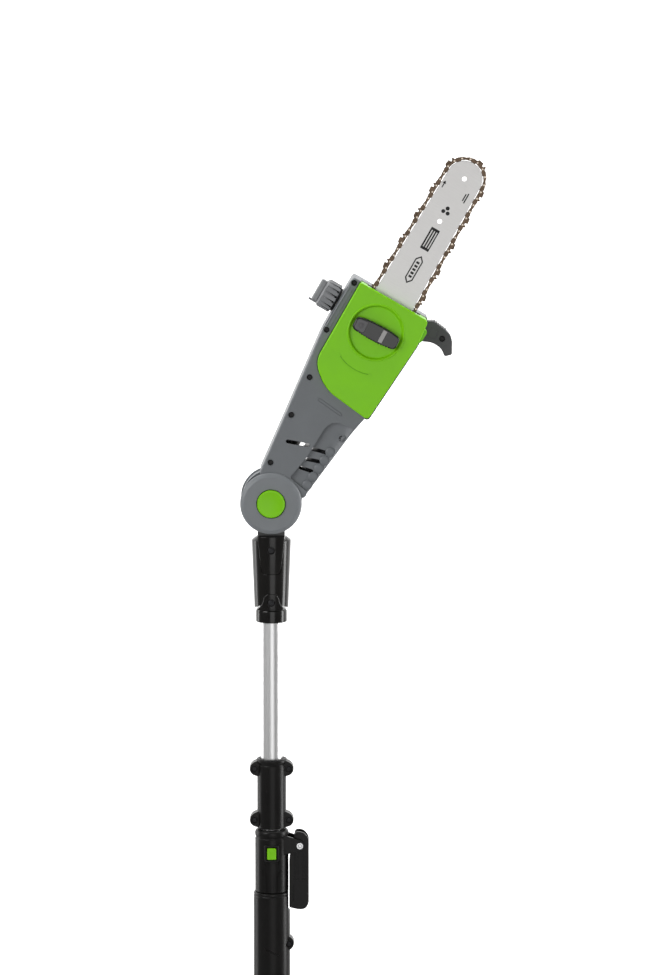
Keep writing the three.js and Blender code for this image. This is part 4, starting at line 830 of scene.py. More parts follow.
for half_name, y_range, tongue_range, node in (
    ("front", (-disc_half, -HALF_GAP), (-RUN, -HALF_GAP), "neck_front"),
    ("rear", (HALF_GAP, disc_half), (HALF_GAP, RUN), "neck_rear"),
):
    low_stem = lifted(plate([(-17.6, -46), (17.6, -46), (17.6, -8), (-17.6, -8)], *y_range))
    steps = [
        ("UNION", low_stem),
        ("UNION", tongue(*tongue_range, swell=0.0)),
        ("DIFFERENCE", lifted(peg(4.4, -RUN, RUN, (0, 0)))),
        ("DIFFERENCE", spun([(0, -110), (12.2, -110), (12.2, -96), (0, -96)])),
    ]
    if half_name == "front":
        steps += [
            ("DIFFERENCE", lifted(peg(14.8, -RUN, -4.4, (0, 0)))),
            ("DIFFERENCE", lifted(peg(4.5, -RUN, -22.2, (0, -63)))),
        ]
    else:
        steps += [("DIFFERENCE", lifted(peg(4.5, 20, RUN, (0, -63))))]
    made = shaped(lifted(peg(33, *y_range, (0, 0), sides=96)), *steps)
    hung("yoke_neck_" + half_name, softened(made, 0.5), gloss_black, "upper_pole", [node])


def slotted_screw(seat, centre, radius=3.9):
    """A round-headed screw with one slot across it."""
    head = peg(radius, seat - 1.6, seat + 1.2, centre, sides=36)
    dome = peg(radius * 0.7, seat - 2.3, seat - 1.6, centre, sides=36, back_radius=radius)
    x, z = centre
    cut = box((-radius, radius), (seat - 3, seat - 1.1), (-0.55, 0.55))
    bmesh.ops.rotate(
        cut, verts=cut.verts, cent=(0, 0, 0), matrix=Matrix.Rotation(math.radians(-35), 3, "Y")
    )
    bmesh.ops.translate(cut, verts=cut.verts, vec=(x * MM, 0, z * MM))
    return shaped(head, ("UNION", dome), ("DIFFERENCE", cut))


hung(
    "yoke_neck_screw",
    lifted(slotted_screw(-22.6, (0, -63))),
    dark_screw_steel,
    "upper_pole",
    ["neck_screw"]
)
hung(
    "yoke_sleeve_screw",
    lifted(slotted_screw(-21.6, (0, -132))),
    dark_screw_steel,
    "upper_pole",
    ["sleeve_screw"]
)

# ---- knuckle ----
# The tilt joint: grey caps on the head's cheeks close over the neck's disc, and the green button in the
# middle pushes the lock key out of its teeth against a spring round the pivot bolt.
head_place = Matrix.Translation(pivot) @ Matrix.Rotation(lean, 4, "Y")


def turned(profile, centre=(0, 0), sides=96):
    """A solid of revolution about a line along Y, from [radius, y] points in millimetres."""
    bm = bmesh.new()
    verts = [bm.verts.new((radius * MM, depth * MM, 0)) for radius, depth in profile]
    edges = [bm.edges.new(pair) for pair in zip(verts, verts[1:])]
    bmesh.ops.spin(
        bm, geom=verts + edges, cent=(0, 0, 0), axis=(0, 1, 0), dvec=(0, 0, 0), angle=math.tau, steps=sides, use_merge=True
    )
    bmesh.ops.remove_doubles(bm, verts=bm.verts, dist=1e-6)
    bmesh.ops.recalc_face_normals(bm, faces=bm.faces)
    bmesh.ops.translate(bm, verts=bm.verts, vec=(centre[0] * MM, 0, centre[1] * MM))
    return bm


grey_plastic = moulded(
    "grey_moulded_plastic", (0.150, 0.161, 0.172), 0.42, grain=0.0008, depth=0.12, drift=0.06
)
disc_grey = moulded(
    "knuckle_grey_plastic", (0.196, 0.209, 0.221), 0.46, grain=0.0008, depth=0.12, drift=0.05
)
button_room = 18.5
front_cap = turned([
    (button_room, -30.3), (button_room, -34.9), (19.2, -35.9), (34.2, -35.9), (35.4, -35.6), (38.3, -34.1),
    (39.8, -32.6), (40, -31.8), (40, -30.3), (button_room, -30.3),
])
hung("knuckle_front_cap", front_cap, disc_grey, "head", ["knuckle_cap_front"], place=head_place)
rear_cap = shaped(
    turned([
        (0, 34.3), (40, 34.3), (40, 36), (39.7, 37), (38.2, 38.6), (35.4, 39.8), (34.2, 40),
        (22, 40), (21.4, 39), (13, 39), (12, 40), (0, 40),
    ]),
    ("DIFFERENCE", peg(7.6, 36.6, RUN, (0, 0), sides=6)),
    ("DIFFERENCE", peg(8.6, 30, 37.2, (0, 0))),
)
hung(
    "knuckle_rear_cap", softened(rear_cap, 0.25), disc_grey, "head", ["knuckle_cap_rear"], place=head_place
)
button_face = turned([
    (0, -37.2), (6, -37.3), (11, -37.75), (15, -38.35), (16.4, -38.5), (17.4, -38.3), (17.95, -37.6), (18, -36.8),
    (18, -32.2), (0, -32.2),
])
hung("tilt_release_button", button_face, green_gloss, "tilt_button", ["tilt_button"], place=head_place)

# ---- head housing ----
# Two grey moulded shells, split along the middle plane, hold the motor and gears. The front one carries
# the cooling slots, a hollow scoop on the right and a flat pad that the bar lies on.
shell_points = [
    (-32.7, 24.8, 6), (32.9, 24.8, 5), (39.9, 89.7, 30), (46.8, 147.3, 25), (57, 182, 22), (57, 308, 3.4),
    (-54.6, 308, 4), (-55.8, 228, 14), (-47.4, 160, 60),
]
cavity_points = [
    (-29, 42, 4), (30, 42, 4), (36.6, 90, 26), (43.4, 148, 20), (53.4, 184, 18), (53.4, 304.6, 2),
    (-51.2, 304.6, 2), (-52.4, 228, 12), (-44, 161, 50),
]
cover_points = [
    (-43.8, 307.4, 3), (-43, 196, 6), (-37, 184, 6.5), (-13.4, 164.8, 14), (53, 157.3, 5.5), (60.5, 275, 9),
    (56.8, 307.4, 5)
]
shell_screws = [
    (-50, 301.7), (-50.7, 231.6), (-38.8, 167.3), (-34.8, 113.2), (-27.2, 46), (26.4, 46), (36.4, 119.1)
]
stud = (5.7, 261)
spindle = (5.7, 213)


def grown(points, amount):
    """The same outline, spread from its middle by about this much all round."""
    middle_x = sum(point[0] for point in points) / len(points)
    middle_z = sum(point[1] for point in points) / len(points)
    spread = []
    for x, z, *rest in points:
        run_x, run_z = x - middle_x, z - middle_z
        spread.append((x + amount * math.copysign(1, run_x), z + amount * math.copysign(1, run_z), *rest))
    return spread


def bar_slot(start, end, width, front, back):
    """A slot with round ends between two [x, z] points, through a depth range along Y."""
    along = Vector((end[0] - start[0], end[1] - start[1])).normalized()
    side = Vector((-along.y, along.x)) * width / 2
    over = along * width / 2
    corners = [
        (start[0] - side.x - over.x, start[1] - side.y - over.y, width * 0.49),
        (end[0] - side.x + over.x, end[1] - side.y + over.y, width * 0.49),
        (end[0] + side.x + over.x, end[1] + side.y + over.y, width * 0.49),
        (start[0] + side.x - over.x, start[1] + side.y - over.y, width * 0.49),
    ]
    return plate(corners, front, back, steps=6)


def shell(front):
    """One half of the housing, hollow above the cheek, with its holes and details cut in."""
    low, high = (-30, -0.15) if front else (0.15, 34)
    deep = (-27.4, 1) if front else (-1, 31.4)
    cheek_span = (-30, -13.7) if front else (13.7, 34)
    skin = shaped(
        pad(shell_points, -30, 34, 2.4), (
            "INTERSECT", box((-90, 90), (low - 1, high) if front else (low, high + 1), (0, 330))
        )
    )
    steps = [
        ("DIFFERENCE", plate(cavity_points, *deep)),
        ("UNION", peg(38, *cheek_span, (0, 0), sides=96)),
    ]
    for place in shell_screws:
        column = (low + 2.2, high) if front else (low, high - 2.2)
        steps += [
            (
                "UNION",
                shaped(
                    peg(6.4, *column, place, sides=32),
                    ("INTERSECT", plate(grown(shell_points, -1), -RUN, RUN))
                )
            )
        ]
    if front:
        steps += [
            (
                "UNION",
                shaped(
                    plate(grown(cover_points, 2.6), -28, -9.6),
                    ("INTERSECT", plate(grown(shell_points, -1.2), -RUN, RUN))
                )
            ),
            ("DIFFERENCE", plate(grown(cover_points, 0.75), -RUN, -13)),
            ("DIFFERENCE", box((-43, 80), (-RUN, -13), (296, 330))),
            ("DIFFERENCE", peg(5, -RUN, 0, stud)),
            ("DIFFERENCE", peg(8.6, -RUN, 0, spindle)),
            ("DIFFERENCE", peg(18.4, -RUN, -27.7, (0, 0))),
            ("DIFFERENCE", peg(14.9, -RUN, 0, (0, 0))),
        ]
        steps += [("DIFFERENCE", peg(3.9, -RUN, -24, place)) for place in shell_screws]
        scoop_points = [
            (19.9, 38.5, 2), (4.3, 41.7, 2), (10, 75.6, 9), (11.3, 123.8, 7), (20, 135, 8), (80, 139),
            (80, 30)
        ]
        backing = shaped(
            plate(grown(scoop_points, 3), -28.5, -22.8),
            ("INTERSECT", plate(grown(shell_points, -1), -RUN, RUN))
        )
        trough = bmesh.new()
        bmesh.ops.create_cone(
            trough, cap_ends=True, segments=160, radius1=46 * MM, radius2=46 * MM, depth=240 * MM
        )
        bmesh.ops.rotate(
            trough, verts=trough.verts, cent=(0, 0, 0), matrix=Matrix.Rotation(math.radians(3), 3, "Y")
        )
        bmesh.ops.translate(trough, verts=trough.verts, vec=(21 * MM, -71.6 * MM, 85 * MM))
        steps += [
            ("UNION", backing),
            ("DIFFERENCE", shaped(plate(scoop_points, -RUN, -20), ("INTERSECT", trough)))
        ]
        outline_cut = shaped(
            bar_slot((-13, 148.6), (20, 145.4), 4.2, -RUN, -28.9), (
                "DIFFERENCE", bar_slot((-13, 148.6), (20, 145.4), 2.6, -RUN, 0)
            )
        )
        steps += [("DIFFERENCE", outline_cut)]
        steps += [("DIFFERENCE", box((-57, -54.1), (-RUN, -21), (229.5, 303)))]
    else:
        steps += [
            (
                "UNION",
                shaped(peg(13.5, 20, 33, spindle, sides=48), ("DIFFERENCE", peg(11.3, 0, 28.8, spindle)))
            ),
            ("UNION", box((39, 55), (0.15, 16), (278, 306))),
            ("DIFFERENCE", box((41.6, 90), (1.6, 13.4), (280.6, 303.4))),
            ("DIFFERENCE", peg(4.3, 0, RUN, (0, 0))),
        ]
    for start, end in (
        ((-21.6, 81), (-9.5, 85.2)), ((-6.5, 86.4), (3.2, 89.8)), (
            (12.9, 88.5), (31.2, 93.1)
        ), ((12, 73), (27.2, 78)), ((10.3, 59.2), (24.3, 62.1)),
    ):
        steps += [("DIFFERENCE", bar_slot(start, end, 5, *((-RUN, -20) if front else (20, RUN))))]
    neck_room = peg(34, -13.7, 13.7, (0, 0), sides=96)
    filler = peg(12.4, -RUN, RUN, (0, 0))
    bmesh.ops.rotate(
        filler, verts=filler.verts, cent=(0, 0, 0), matrix=Matrix.Rotation(math.radians(90), 3, "Z")
    )
    bmesh.ops.translate(filler, verts=filler.verts, vec=(-95 * MM, 8 * MM, 268.5 * MM))
    steps += [("DIFFERENCE", neck_room), ("DIFFERENCE", filler)]
    return shaped(skin, *steps)


hung("housing_shell_front", shell(True), grey_plastic, "head", ["housing_front"], place=head_place)
hung("housing_shell_rear", shell(False), grey_plastic, "head", ["housing_rear"], place=head_place)
for index, v in enumerate((-53.2, -48.6)):
    ridge = softened(bar_slot((v, 236), (v + 0.6, 294), 1.1, -30.75, -28.5), 0.3)
    hung(f"housing_side_ridge_{index}", ridge, grey_plastic, "head", place=head_place)
for index in range(6):
    u = 96 - 13 * index
    finger = bmesh.new()
    bmesh.ops.create_uvsphere(finger, u_segments=32, v_segments=16, radius=7 * MM)
    bmesh.ops.scale(finger, verts=finger.verts, vec=(0.95, 0.24, 0.93))
    bmesh.ops.translate(finger, verts=finger.verts, vec=((33.4 - 0.09 * (96 - u)) * MM, -28.0 * MM, u * MM))
    hung(f"scoop_finger_rib_{index}", finger, grey_plastic, "head", place=head_place)
# Painted shadow: the housing screws are coloured almost black so that their deep recesses read as dark holes. The
# same near-black painted shadow colours the plate in the gap round the cover and the hook's screw.
painted_shadow_black = moulded(
    "screw_shadow_black", (0.004, 0.004, 0.004), 0.5, grain=0.001, depth=0.03, drift=0.05
)
for index, place in enumerate(shell_screws):
    sunk = screw(-25.6, place, radius=3.3, recess=0.7)
    hung(f"housing_screw_{index + 1}", sunk, painted_shadow_black, "head", place=head_place)
    rim_seat = shaped(
        peg(4.75, -30.35, -29.5, place, sides=40), ("DIFFERENCE", peg(3.9, -RUN, 0, place, sides=40))
    )
    if place[1] > 60 or place[0] < 0:
        hung(
            f"housing_screw_rim_{index + 1}", softened(rim_seat, 0.2), grey_plastic, "head",
            place=head_place
        )
# Painted shade: a thin near-black plate under the cover's edge shows as the dark gap line round the cover.
gap_points = grown(cover_points, 1.1)
gap_line = shaped(
    plate(gap_points, -29.2, -13.1),
    ("DIFFERENCE", plate(grown(cover_points, -1.6), -RUN, 0)),
    ("DIFFERENCE", box((-90, 90), (-RUN, 0), (296, 330)))
)
bmesh.ops.translate(gap_line, verts=gap_line.verts, vec=(0.8 * MM, 0, -1.0 * MM))
hung("cover_gap_painted_shade", gap_line, painted_shadow_black, "head", place=head_place)

# ---- side cover ----
# A bright green moulded cover over the bar's tail and the drive sprocket. A round dish lets the fingers
# reach the knob, and an arc with arrowheads below it shows which way to turn.
cover_skin = shaped(
    pad(cover_points, -40, -10, 1.6, corner_steps=12),
    ("INTERSECT", box((-90, 90), (-RUN, -13.3), (100, 330)))
)
cover_steps = [
    ("DIFFERENCE", plate(grown(cover_points, -2.5), -37.6, 0)),
    ("DIFFERENCE", box((5.7 - 39, 5.7 + 39), (-26, 0), (292, 330))),
    ("UNION", peg(35.8, -39, -34.4, stud, sides=96)),
    (
        "UNION",
        shaped(
            plate([(52, 276, 2), (62.6, 277, 3), (63.2, 294.5, 3), (55, 296.5, 2)], -36, -20),
            ("DIFFERENCE", plate(grown(cover_points, -2.5), -60, 0))
        )
    ),
    (
        "DIFFERENCE",
        turned(
            [(0, -60), (34.6, -60), (34.6, -40), (33.8, -38.6), (33.4, -37.4), (32, -36.8), (0, -36.8)],
            stud,
            sides=128
        )
    ),
    ("DIFFERENCE", peg(7.4, -RUN, 0, stud)),
]
hung(
    "green_cover", shaped(cover_skin, *cover_steps), green_gloss, "head", ["side_cover"], place=head_place,
    sharp=32
)
dish_rim = turned(
    [
        (34.8, -39.6), (34.8, -40.2), (35.3, -40.7), (36.1, -40.9), (36.9, -40.6), (37.3, -40),
        (37.3, -39.6), (34.8, -39.6)
    ],
    stud,
    sides=128
)
hung("cover_dish_rim", dish_rim, green_gloss, "head", place=head_place)


def arc_band(radius, width, start, end, front, back, centre, steps=28):
    """A raised arc about a centre: angles in degrees, measured from straight down toward the hook side."""
    low, high = math.radians(start), math.radians(end)
    rim = [low + (high - low) * index / steps for index in range(steps + 1)]
    inner, outer = radius - width / 2, radius + width / 2
    corners = [(centre[0] + outer * math.sin(turn), centre[1] - outer * math.cos(turn)) for turn in rim]
    corners += [
        (centre[0] + inner * math.sin(turn), centre[1] - inner * math.cos(turn)) for turn in reversed(rim)
    ]
    return plate(corners, front, back)


# Painted shade: the raised arc is coloured a darker green than the cover so that its low relief reads as shaded.
green_painted_shade = moulded(
    "green_embossed_painted_shade", (0.120, 0.400, 0.0), 0.4, grain=0.0011, depth=0.03, drift=0.03, shine=0.2
)
hung(
    "cover_turn_arc",
    softened(arc_band(55, 0.9, -27, 20, -40.45, -39.6, stud), 0.15),
    green_painted_shade,
    "head",
    place=head_place
)
for index, (turn, way) in enumerate(((-27, -1), (20, 1))):
    angle = math.radians(turn)
    tip = Vector((stud[0] + 55 * math.sin(angle), stud[1] - 55 * math.cos(angle)))
    along = Vector((math.cos(angle), math.sin(angle))) * way
    across = Vector((-along.y, along.x))
    ends = [tip + along * 4.5, tip - along * 0.5 + across * 2.2, tip - along * 0.5 - across * 2.2]
    head_mark = plate([(point.x, point.y, 0.3) for point in ends], -40.45, -39.6, steps=3)
    hung(f"cover_turn_arrow_{index}", head_mark, green_gloss, "head", place=head_place)

# ---- clamping knob ----
# A glossy black knob with a bar-shaped grip, serrated along its sides, that draws the cover and the bar
# tight. A dark grey patch in a dimple at one end is a painted reflection, and a pale band past the middle
# and a pale arc at the other end are painted highlights.
knob_points = [
    (-31.4, -8.4, 5), (-12, -11.2, 9), (12, -11.2, 9), (31.4, -8.4, 5), (31.4, 8.4, 5), (12, 11.2, 9), (-12, 11.2, 9), (-31.4, 8.4, 5),
]
knob_place = head_place @ Matrix.Translation(
    (stud[0] * MM, 0, stud[1] * MM)
) @ Matrix.Rotation(math.radians(-2), 4, "Y")
knob_body = pad(knob_points, -48, -37.15, 1.9)
knob_steps = [("UNION", peg(7, -38, -22.8, (0, 0))), ("DIFFERENCE", peg(4.4, -43, 0, (0, 0)))]
for index in range(13):
    x = -21 + 3.5 * index
    for side in (-1, 1):
        edge = 11.6 - abs(x) * 0.09
        knob_steps += [("DIFFERENCE", peg(1.15, -RUN, -38.4, (x, side * (edge + 0.35)), sides=12))]
knob_steps += [
    (
        "DIFFERENCE",
        plate([(-29, -6.9, 2.5), (-14.6, -8, 2.5), (-14.6, 8, 2.5), (-29, 6.9, 2.5)], -RUN, -46.9)
    ),
    ("DIFFERENCE", box((6.5, 12.3), (-RUN, -47.3), (-8.6, 8.6))),
]
knob_black = moulded("knob_gloss_black", (0.006, 0.006, 0.006), 0.16, grain=0.0012, depth=0.03, drift=0.08)
hung("knob_grip", shaped(knob_body, *knob_steps), knob_black, "knob", ["cover_knob"], place=knob_place)
# Painted reflection: the dark grey patch in the dimple at the grip's left end stands for a softbox reflected on the
# glossy knob.
painted_reflection_grey = moulded("knob_painted_reflection_grey", (0.085, 0.083, 0.088), 0.32, grain=0.0008, depth=0.06, drift=0.08)
reflection_patch = softened(
    plate([(-28.8, -6.7, 2.4), (-14.8, -7.8, 2.4), (-14.8, 7.8, 2.4), (-28.8, 6.7, 2.4)], -47.9, -46.95),
    0.4
)
dimple = bmesh.new()
bmesh.ops.create_uvsphere(dimple, u_segments=48, v_segments=24, radius=14 * MM)
bmesh.ops.translate(dimple, verts=dimple.verts, vec=(-21.8 * MM, -61.2 * MM, 0))
hung("knob_painted_reflection_patch", shaped(reflection_patch, ("DIFFERENCE", dimple)), painted_reflection_grey, "knob", place=knob_place)
# Painted highlight: the pale grey band past the middle and the pale arc at the grip's right end stand for light
# reflected on the glossy black knob.
painted_highlight_grey = moulded("knob_painted_highlight_grey", (0.36, 0.35, 0.345), 0.35, grain=0.0008, depth=0.06, drift=0.05)
highlight_band = softened(box((6.7, 12.1), (-47.95, -47.35), (-8.4, 8.4)), 0.2)
hung("knob_painted_highlight_band", highlight_band, painted_highlight_grey, "knob", place=knob_place)
end_arc = softened(arc_band(31, 0.9, 74, 105, -47.6, -46.5, (-2.6, 0)), 0.2)
hung("knob_end_highlight_rib", end_arc, painted_highlight_grey, "knob", place=knob_place)

# ---- guide bar ----
# A satin ground steel bar with rounded rails, a sprocket in its nose, a slot for the stud and a hole for
# the tension block. Plain black printed marks lie along its face.
bar_axis = 5.7
bar_tail, nose_u = 262, 487.6
bar_front, bar_back = -22.4, -17.6


def hull(circles, stand=0.0, samples=180):
    """The belt line round circles of [u, radius] on the bar's axis, as [x, z] points."""
    points = []
    for u, radius in circles:
        for index in range(samples):
            turn = math.tau * index / samples
            reach = radius + stand
            points.append(
                (round(bar_axis + reach * math.cos(turn), 5), round(u + reach * math.sin(turn), 5))
            )
    points = sorted(set(points))
    sides = []
    for run in (points, points[::-1]):
        side = []
        for point in run:
            while len(side) > 1:
                (x0, z0), (x1, z1) = side[-2], side[-1]
                if (x1 - x0) * (point[1] - z0) - (z1 - z0) * (point[0] - x0) > 1e-9:
                    break
                side.pop()
            side.append(point)
        sides.append(side[:-1])
    return sides[0] + sides[1]


rails = [(bar_tail, 28.2), (nose_u, 23.4)]
bar_steps = [
    ("DIFFERENCE", bar_slot((bar_axis, 247), (bar_axis, 275), 8.8, -RUN, 0)),
    ("DIFFERENCE", peg(3.1, -RUN, 0, (bar_axis, nose_u), sides=40)),
    ("DIFFERENCE", peg(3.2, -RUN, 0, (bar_axis, nose_u - 63), sides=40)),
    ("DIFFERENCE", peg(2.4, -RUN, 0, (bar_axis - 17, 269), sides=32)),
    ("DIFFERENCE", peg(0.9, -RUN, bar_front + 0.8, (11, 481), sides=20)),
    (
        "DIFFERENCE",
        shaped(
            peg(26.4, -20.9, -19.1, (bar_axis, nose_u), sides=96),
            ("DIFFERENCE", peg(6, -RUN, 0, (bar_axis, nose_u)))
        )
    ),
    (
        "DIFFERENCE",
        shaped(plate(hull(rails, 2), -20.7, -19.3), ("DIFFERENCE", plate(hull(rails, -4.5), -RUN, 0)))
    ),
]
for index in range(4):
    turn = math.radians(45 + 90 * index)
    rivet = (bar_axis + 10 * math.cos(turn), nose_u - 1 + 10 * math.sin(turn))
    bar_steps += [
        (
            "DIFFERENCE",
            shaped(
                peg(1.75, bar_front - 1, bar_front + 0.12, rivet, sides=24),
                ("DIFFERENCE", peg(1.4, -RUN, 0, rivet, sides=24))
            )
        )
    ]
bar_shape = shaped(softened(plate(hull(rails), bar_front, bar_back), 0.45, angle=60), *bar_steps)
ground_steel = drawn_metal(
    "ground_bar_steel", (0.66, 0.65, 0.64), 0.46, lines=(60, 60, 900), contrast=0.07, along=lean
)
hung("bar_plate", bar_shape, ground_steel, "bar_carriage", ["guide_bar"], place=head_place, sharp=30)
ink = moulded("black_print_ink", (0.006, 0.006, 0.006), 0.6, grain=0.0006, depth=0.05, drift=0.1)


def printed(name, shape):
    hung(name, shape, ink, "bar_carriage", place=head_place)


def slanted(corners, centre):
    """A thin print on the bar's face from [x, z, rounding] points about its own middle."""
    return plate(
        [(x + centre[0], z + centre[1], *rest) for x, z, *rest in corners],
        bar_front - 0.06,
        bar_front + 0.05,
        steps=4
    )


frame_mark = shaped(
    slanted(
        [(0, -20, 0.5), (5.4, -14, 1), (5.4, 14, 1), (0, 20, 0.5), (-5.4, 14, 1), (-5.4, -14, 1)],
        (8.2, 354.5)
    ),
    (
        "DIFFERENCE",
        plate(
            [
                (8.2, 337, 0.4), (12, 341.4, 0.7), (12, 367.6, 0.7), (8.2, 372, 0.4), (4.4, 367.6, 0.7),
                (4.4, 341.4, 0.7)
            ],
            -RUN,
            0,
            steps=4
        )
    ),
)
printed("print_long_frame", frame_mark)
for index in range(5):
    printed(
        f"print_frame_bar_{index}",
        slanted([(-2.2, -1.5), (2.2, -1.5), (2.2, 1.5), (-2.2, 1.5)], (8.2, 344.5 + 5 * index))
    )
label_mark = slanted([(-6.8, -16, 0.6), (5.2, -16, 0.6), (5.2, 15, 0.6), (-6.8, 15, 0.6)], (7.2, 399))
label_steps = []
for index in range(3):
    stripe = [
        (-4.6 + 3.4 * index, -12.5), (-3.2 + 3.4 * index, -12.5), (-3.2 + 3.4 * index, 11.5),
        (-4.6 + 3.4 * index, 11.5)
    ]
    label_steps += [("DIFFERENCE", plate([(x + 7.2, z + 399) for x, z in stripe], -RUN, 0))]
printed("print_striped_label", shaped(label_mark, *label_steps))
for index, (x, z, radius) in enumerate(((3.0, 438.5, 2.6), (9.4, 438.5, 2.6), (6.2, 444.2, 2.6))):
    printed(f"print_dot_{index}", peg(radius, bar_front - 0.06, bar_front + 0.05, (x, z), sides=32))
printed(
    "print_arrow",
    slanted([(-0.7, -5), (0.7, -5), (0.7, 1), (2.4, 1), (0, 5), (-2.4, 1), (-0.7, 1)], (-14, 469))
)
for index, (x, length) in enumerate(((17.6, 10), (20.4, 14))):
    printed(
        f"print_rule_{index}",
        slanted([(-0.8, -length / 2), (0.8, -length / 2), (0.8, length / 2), (-0.8, length / 2)], (x, 467))
    )
nose_wheel = peg(15.8, -20.5, -19.5, (bar_axis, nose_u), sides=64)
nose_steps = [("DIFFERENCE", peg(6.3, -RUN, 0, (bar_axis, nose_u)))]
for index in range(9):
    turn = math.tau * index / 9
    tooth = [(-3.2, 14), (3.2, 14), (1.3, 21.4, 0.5), (-1.3, 21.4, 0.5)]
    made = plate(tooth, -20.5, -19.5, steps=3)
    bmesh.ops.rotate(made, verts=made.verts, cent=(0, 0, 0), matrix=Matrix.Rotation(turn, 3, "Y"))
    bmesh.ops.translate(made, verts=made.verts, vec=(bar_axis * MM, 0, nose_u * MM))
    nose_steps = [("UNION", made)] + nose_steps
dark_steel = drawn_metal(
    "dark_sprocket_steel", (0.22, 0.20, 0.18), 0.4, lines=(200, 200, 200), contrast=0.2
)
hung(
    "nose_wheel_sprocket", shaped(nose_wheel, *nose_steps), dark_steel, "nose_wheel", ["nose_sprocket"],
    place=head_place
)

# ---- saw chain ----
# One closed loop of low-profile chain: drive links between pairs of tie straps on bright rivets, with a
# cutter and its depth gauge at every fourth rivet pair, left and right hand in turn.
chain_line = hull([(213, 19), (bar_tail, 28.5), (nose_u, 23.7)], 0.25)
chain_runs = [math.dist(a, b) for a, b in zip(chain_line, chain_line[1:] + chain_line[:1])]
loop_length = sum(chain_runs)
rivet_count = 2 * round(loop_length / 9.525 / 2)


def chain_point(travel):
    """The place at a distance along the loop, in head coordinates."""
    travel %= loop_length
    for index, run in enumerate(chain_runs):
        if travel <= run:
            break
        travel -= run
    (x0, z0), (x1, z1) = chain_line[index], chain_line[(index + 1) % len(chain_line)]
    share = travel / run if run else 0
    return Vector((x0 + (x1 - x0) * share, 0, z0 + (z1 - z0) * share))


def chain_frame(start, end):
    """Local x runs along the chain between two rivets, local z points away from the bar."""
    a, b = chain_point(start), chain_point(end)
    along = (b - a).normalized()
    out = Vector((along.z, 0, -along.x))
    middle = (a + b) / 2
    if (middle - Vector((bar_axis, 0, 360))).dot(out) < 0 and abs(middle.z - 360) < 150:
        out = -out
    elif middle.z > 480 and out.dot(middle - Vector((bar_axis, 0, nose_u))) < 0:
        out = -out
    elif middle.z < 240 and out.dot(middle - Vector((bar_axis, 0, 225))) < 0:
        out = -out
    side = out.cross(along)
    if side.y < 0:
        along, side = -along, -side
    turn = Matrix((along, side, out)).transposed().to_4x4()
    return Matrix.Translation(middle * MM) @ turn


def strung(template, frames):
    """One mesh of many copies of a link."""
    base = bpy.data.meshes.new("link")
    template.to_mesh(base)
    template.free()
    joined = bmesh.new()
    for frame_at in frames:
        copy = base.copy()
        copy.transform(frame_at)
        joined.from_mesh(copy)
        bpy.data.meshes.remove(copy)
    bpy.data.meshes.remove(base)
    bmesh.ops.recalc_face_normals(joined, faces=joined.faces)
    return joined


rivet_step = loop_length / rivet_count
drive_frames, strap_frames, cutter_left, cutter_right = [], [], [], []
for index in range(0, rivet_count, 2):
    here, there, beyond = (rivet_step * (index + offset) for offset in (0, 1, 2))
    drive_frames.append(chain_frame(here, there))
    tie = chain_frame(there, beyond)
    cutter_turn = (index // 2) % 4
    if cutter_turn == 1:
        cutter_left.append(tie)
    elif cutter_turn == 3:
        cutter_right.append(tie)
    strap_frames.append(tie)


def at_height(shape, height):
    bmesh.ops.translate(shape, verts=shape.verts, vec=(0, 0, height * MM))
    return shape


strap_outline = [
    (-7.1, -2.1, 1.9), (-3.2, -2.1, 1), (0, -1.2, 1.5), (3.2, -2.1, 1), (7.1, -2.1, 1.9), (7.1, 2.1, 1.9),
    (3.2, 2.2, 1), (0, 1.3, 1.5), (-3.2, 2.2, 1), (-7.1, 2.1, 1.9)
]
drive_outline = [
    (-7.3, -1.6, 1.5), (-3, -2.2, 0.6), (-1, -4.6, 0.8), (1.5, -4.6, 0.8), (3.4, -2.2, 0.6),
    (7.3, -1.6, 1.5), (7.3, 1.8, 1.6), (3, 2.3, 1), (0, 3.1, 1.5), (-3, 2.3, 1), (-7.3, 1.8, 1.6)
]
cutter_outline = [
    (-7.1, -2.1, 1.6), (7.1, -2.1, 1.6), (7.4, 2, 1), (6.6, 4.4, 0.8), (4.6, 4.8, 0.5), (3.6, 1.9, 1),
    (1.8, 1.7, 0.8), (0.6, 5.3, 0.2), (-6.2, 4.4, 0.3), (-7.4, 2, 1)
]
chain_steel = drawn_metal(
    "bronzed_chain_steel", (0.115, 0.082, 0.058), 0.36, lines=(260, 260, 260), contrast=0.75
)
rivet_steel = drawn_metal("chain_rivet_steel", (0.50, 0.43, 0.36), 0.3, lines=(500, 500, 500), contrast=0.3)
for front, back, name, shape_points, frames, rise in (
    (-22.2, -20.95, "chain_straps_front", strap_outline, strap_frames, 2.55),
    (-19.05, -17.8, "chain_straps_rear", strap_outline, strap_frames, 2.55),
    (-20.6, -19.4, "chain_drive_links", drive_outline, drive_frames, 2.55),
    (-22.3, -20.9, "chain_cutters_front", cutter_outline, cutter_left, 2.55),
    (-19.1, -17.7, "chain_cutters_rear", cutter_outline, cutter_right, 2.55),
):
    link_shape = at_height(
        softened(plate(shape_points, front, back, steps=2), 0.22, steps=1, angle=60), rise
    )
    hung(
        name,
        strung(link_shape, frames),
        chain_steel,
        "bar_carriage",
        ["saw_chain"] if "straps_front" in name else [],
        place=head_place
    )
for name, frames, front, back in (
    ("front", cutter_left, -22.2, -18.6), ("rear", cutter_right, -21.4, -17.8)
):
    top_plate = softened(
        plate([(-6.2, 4.0), (0.8, 4.9), (0.8, 5.5), (-6.2, 4.6)], front, back), 0.15, steps=1, angle=60
    )
    hung(
        "chain_top_plates_" + name,
        strung(at_height(top_plate, 2.55), frames),
        chain_steel,
        "bar_carriage",
        place=head_place
    )
rivet_shape = softened(peg(1.35, -22.45, -17.55, (0, 0), sides=14), 0.25, steps=1, angle=60)
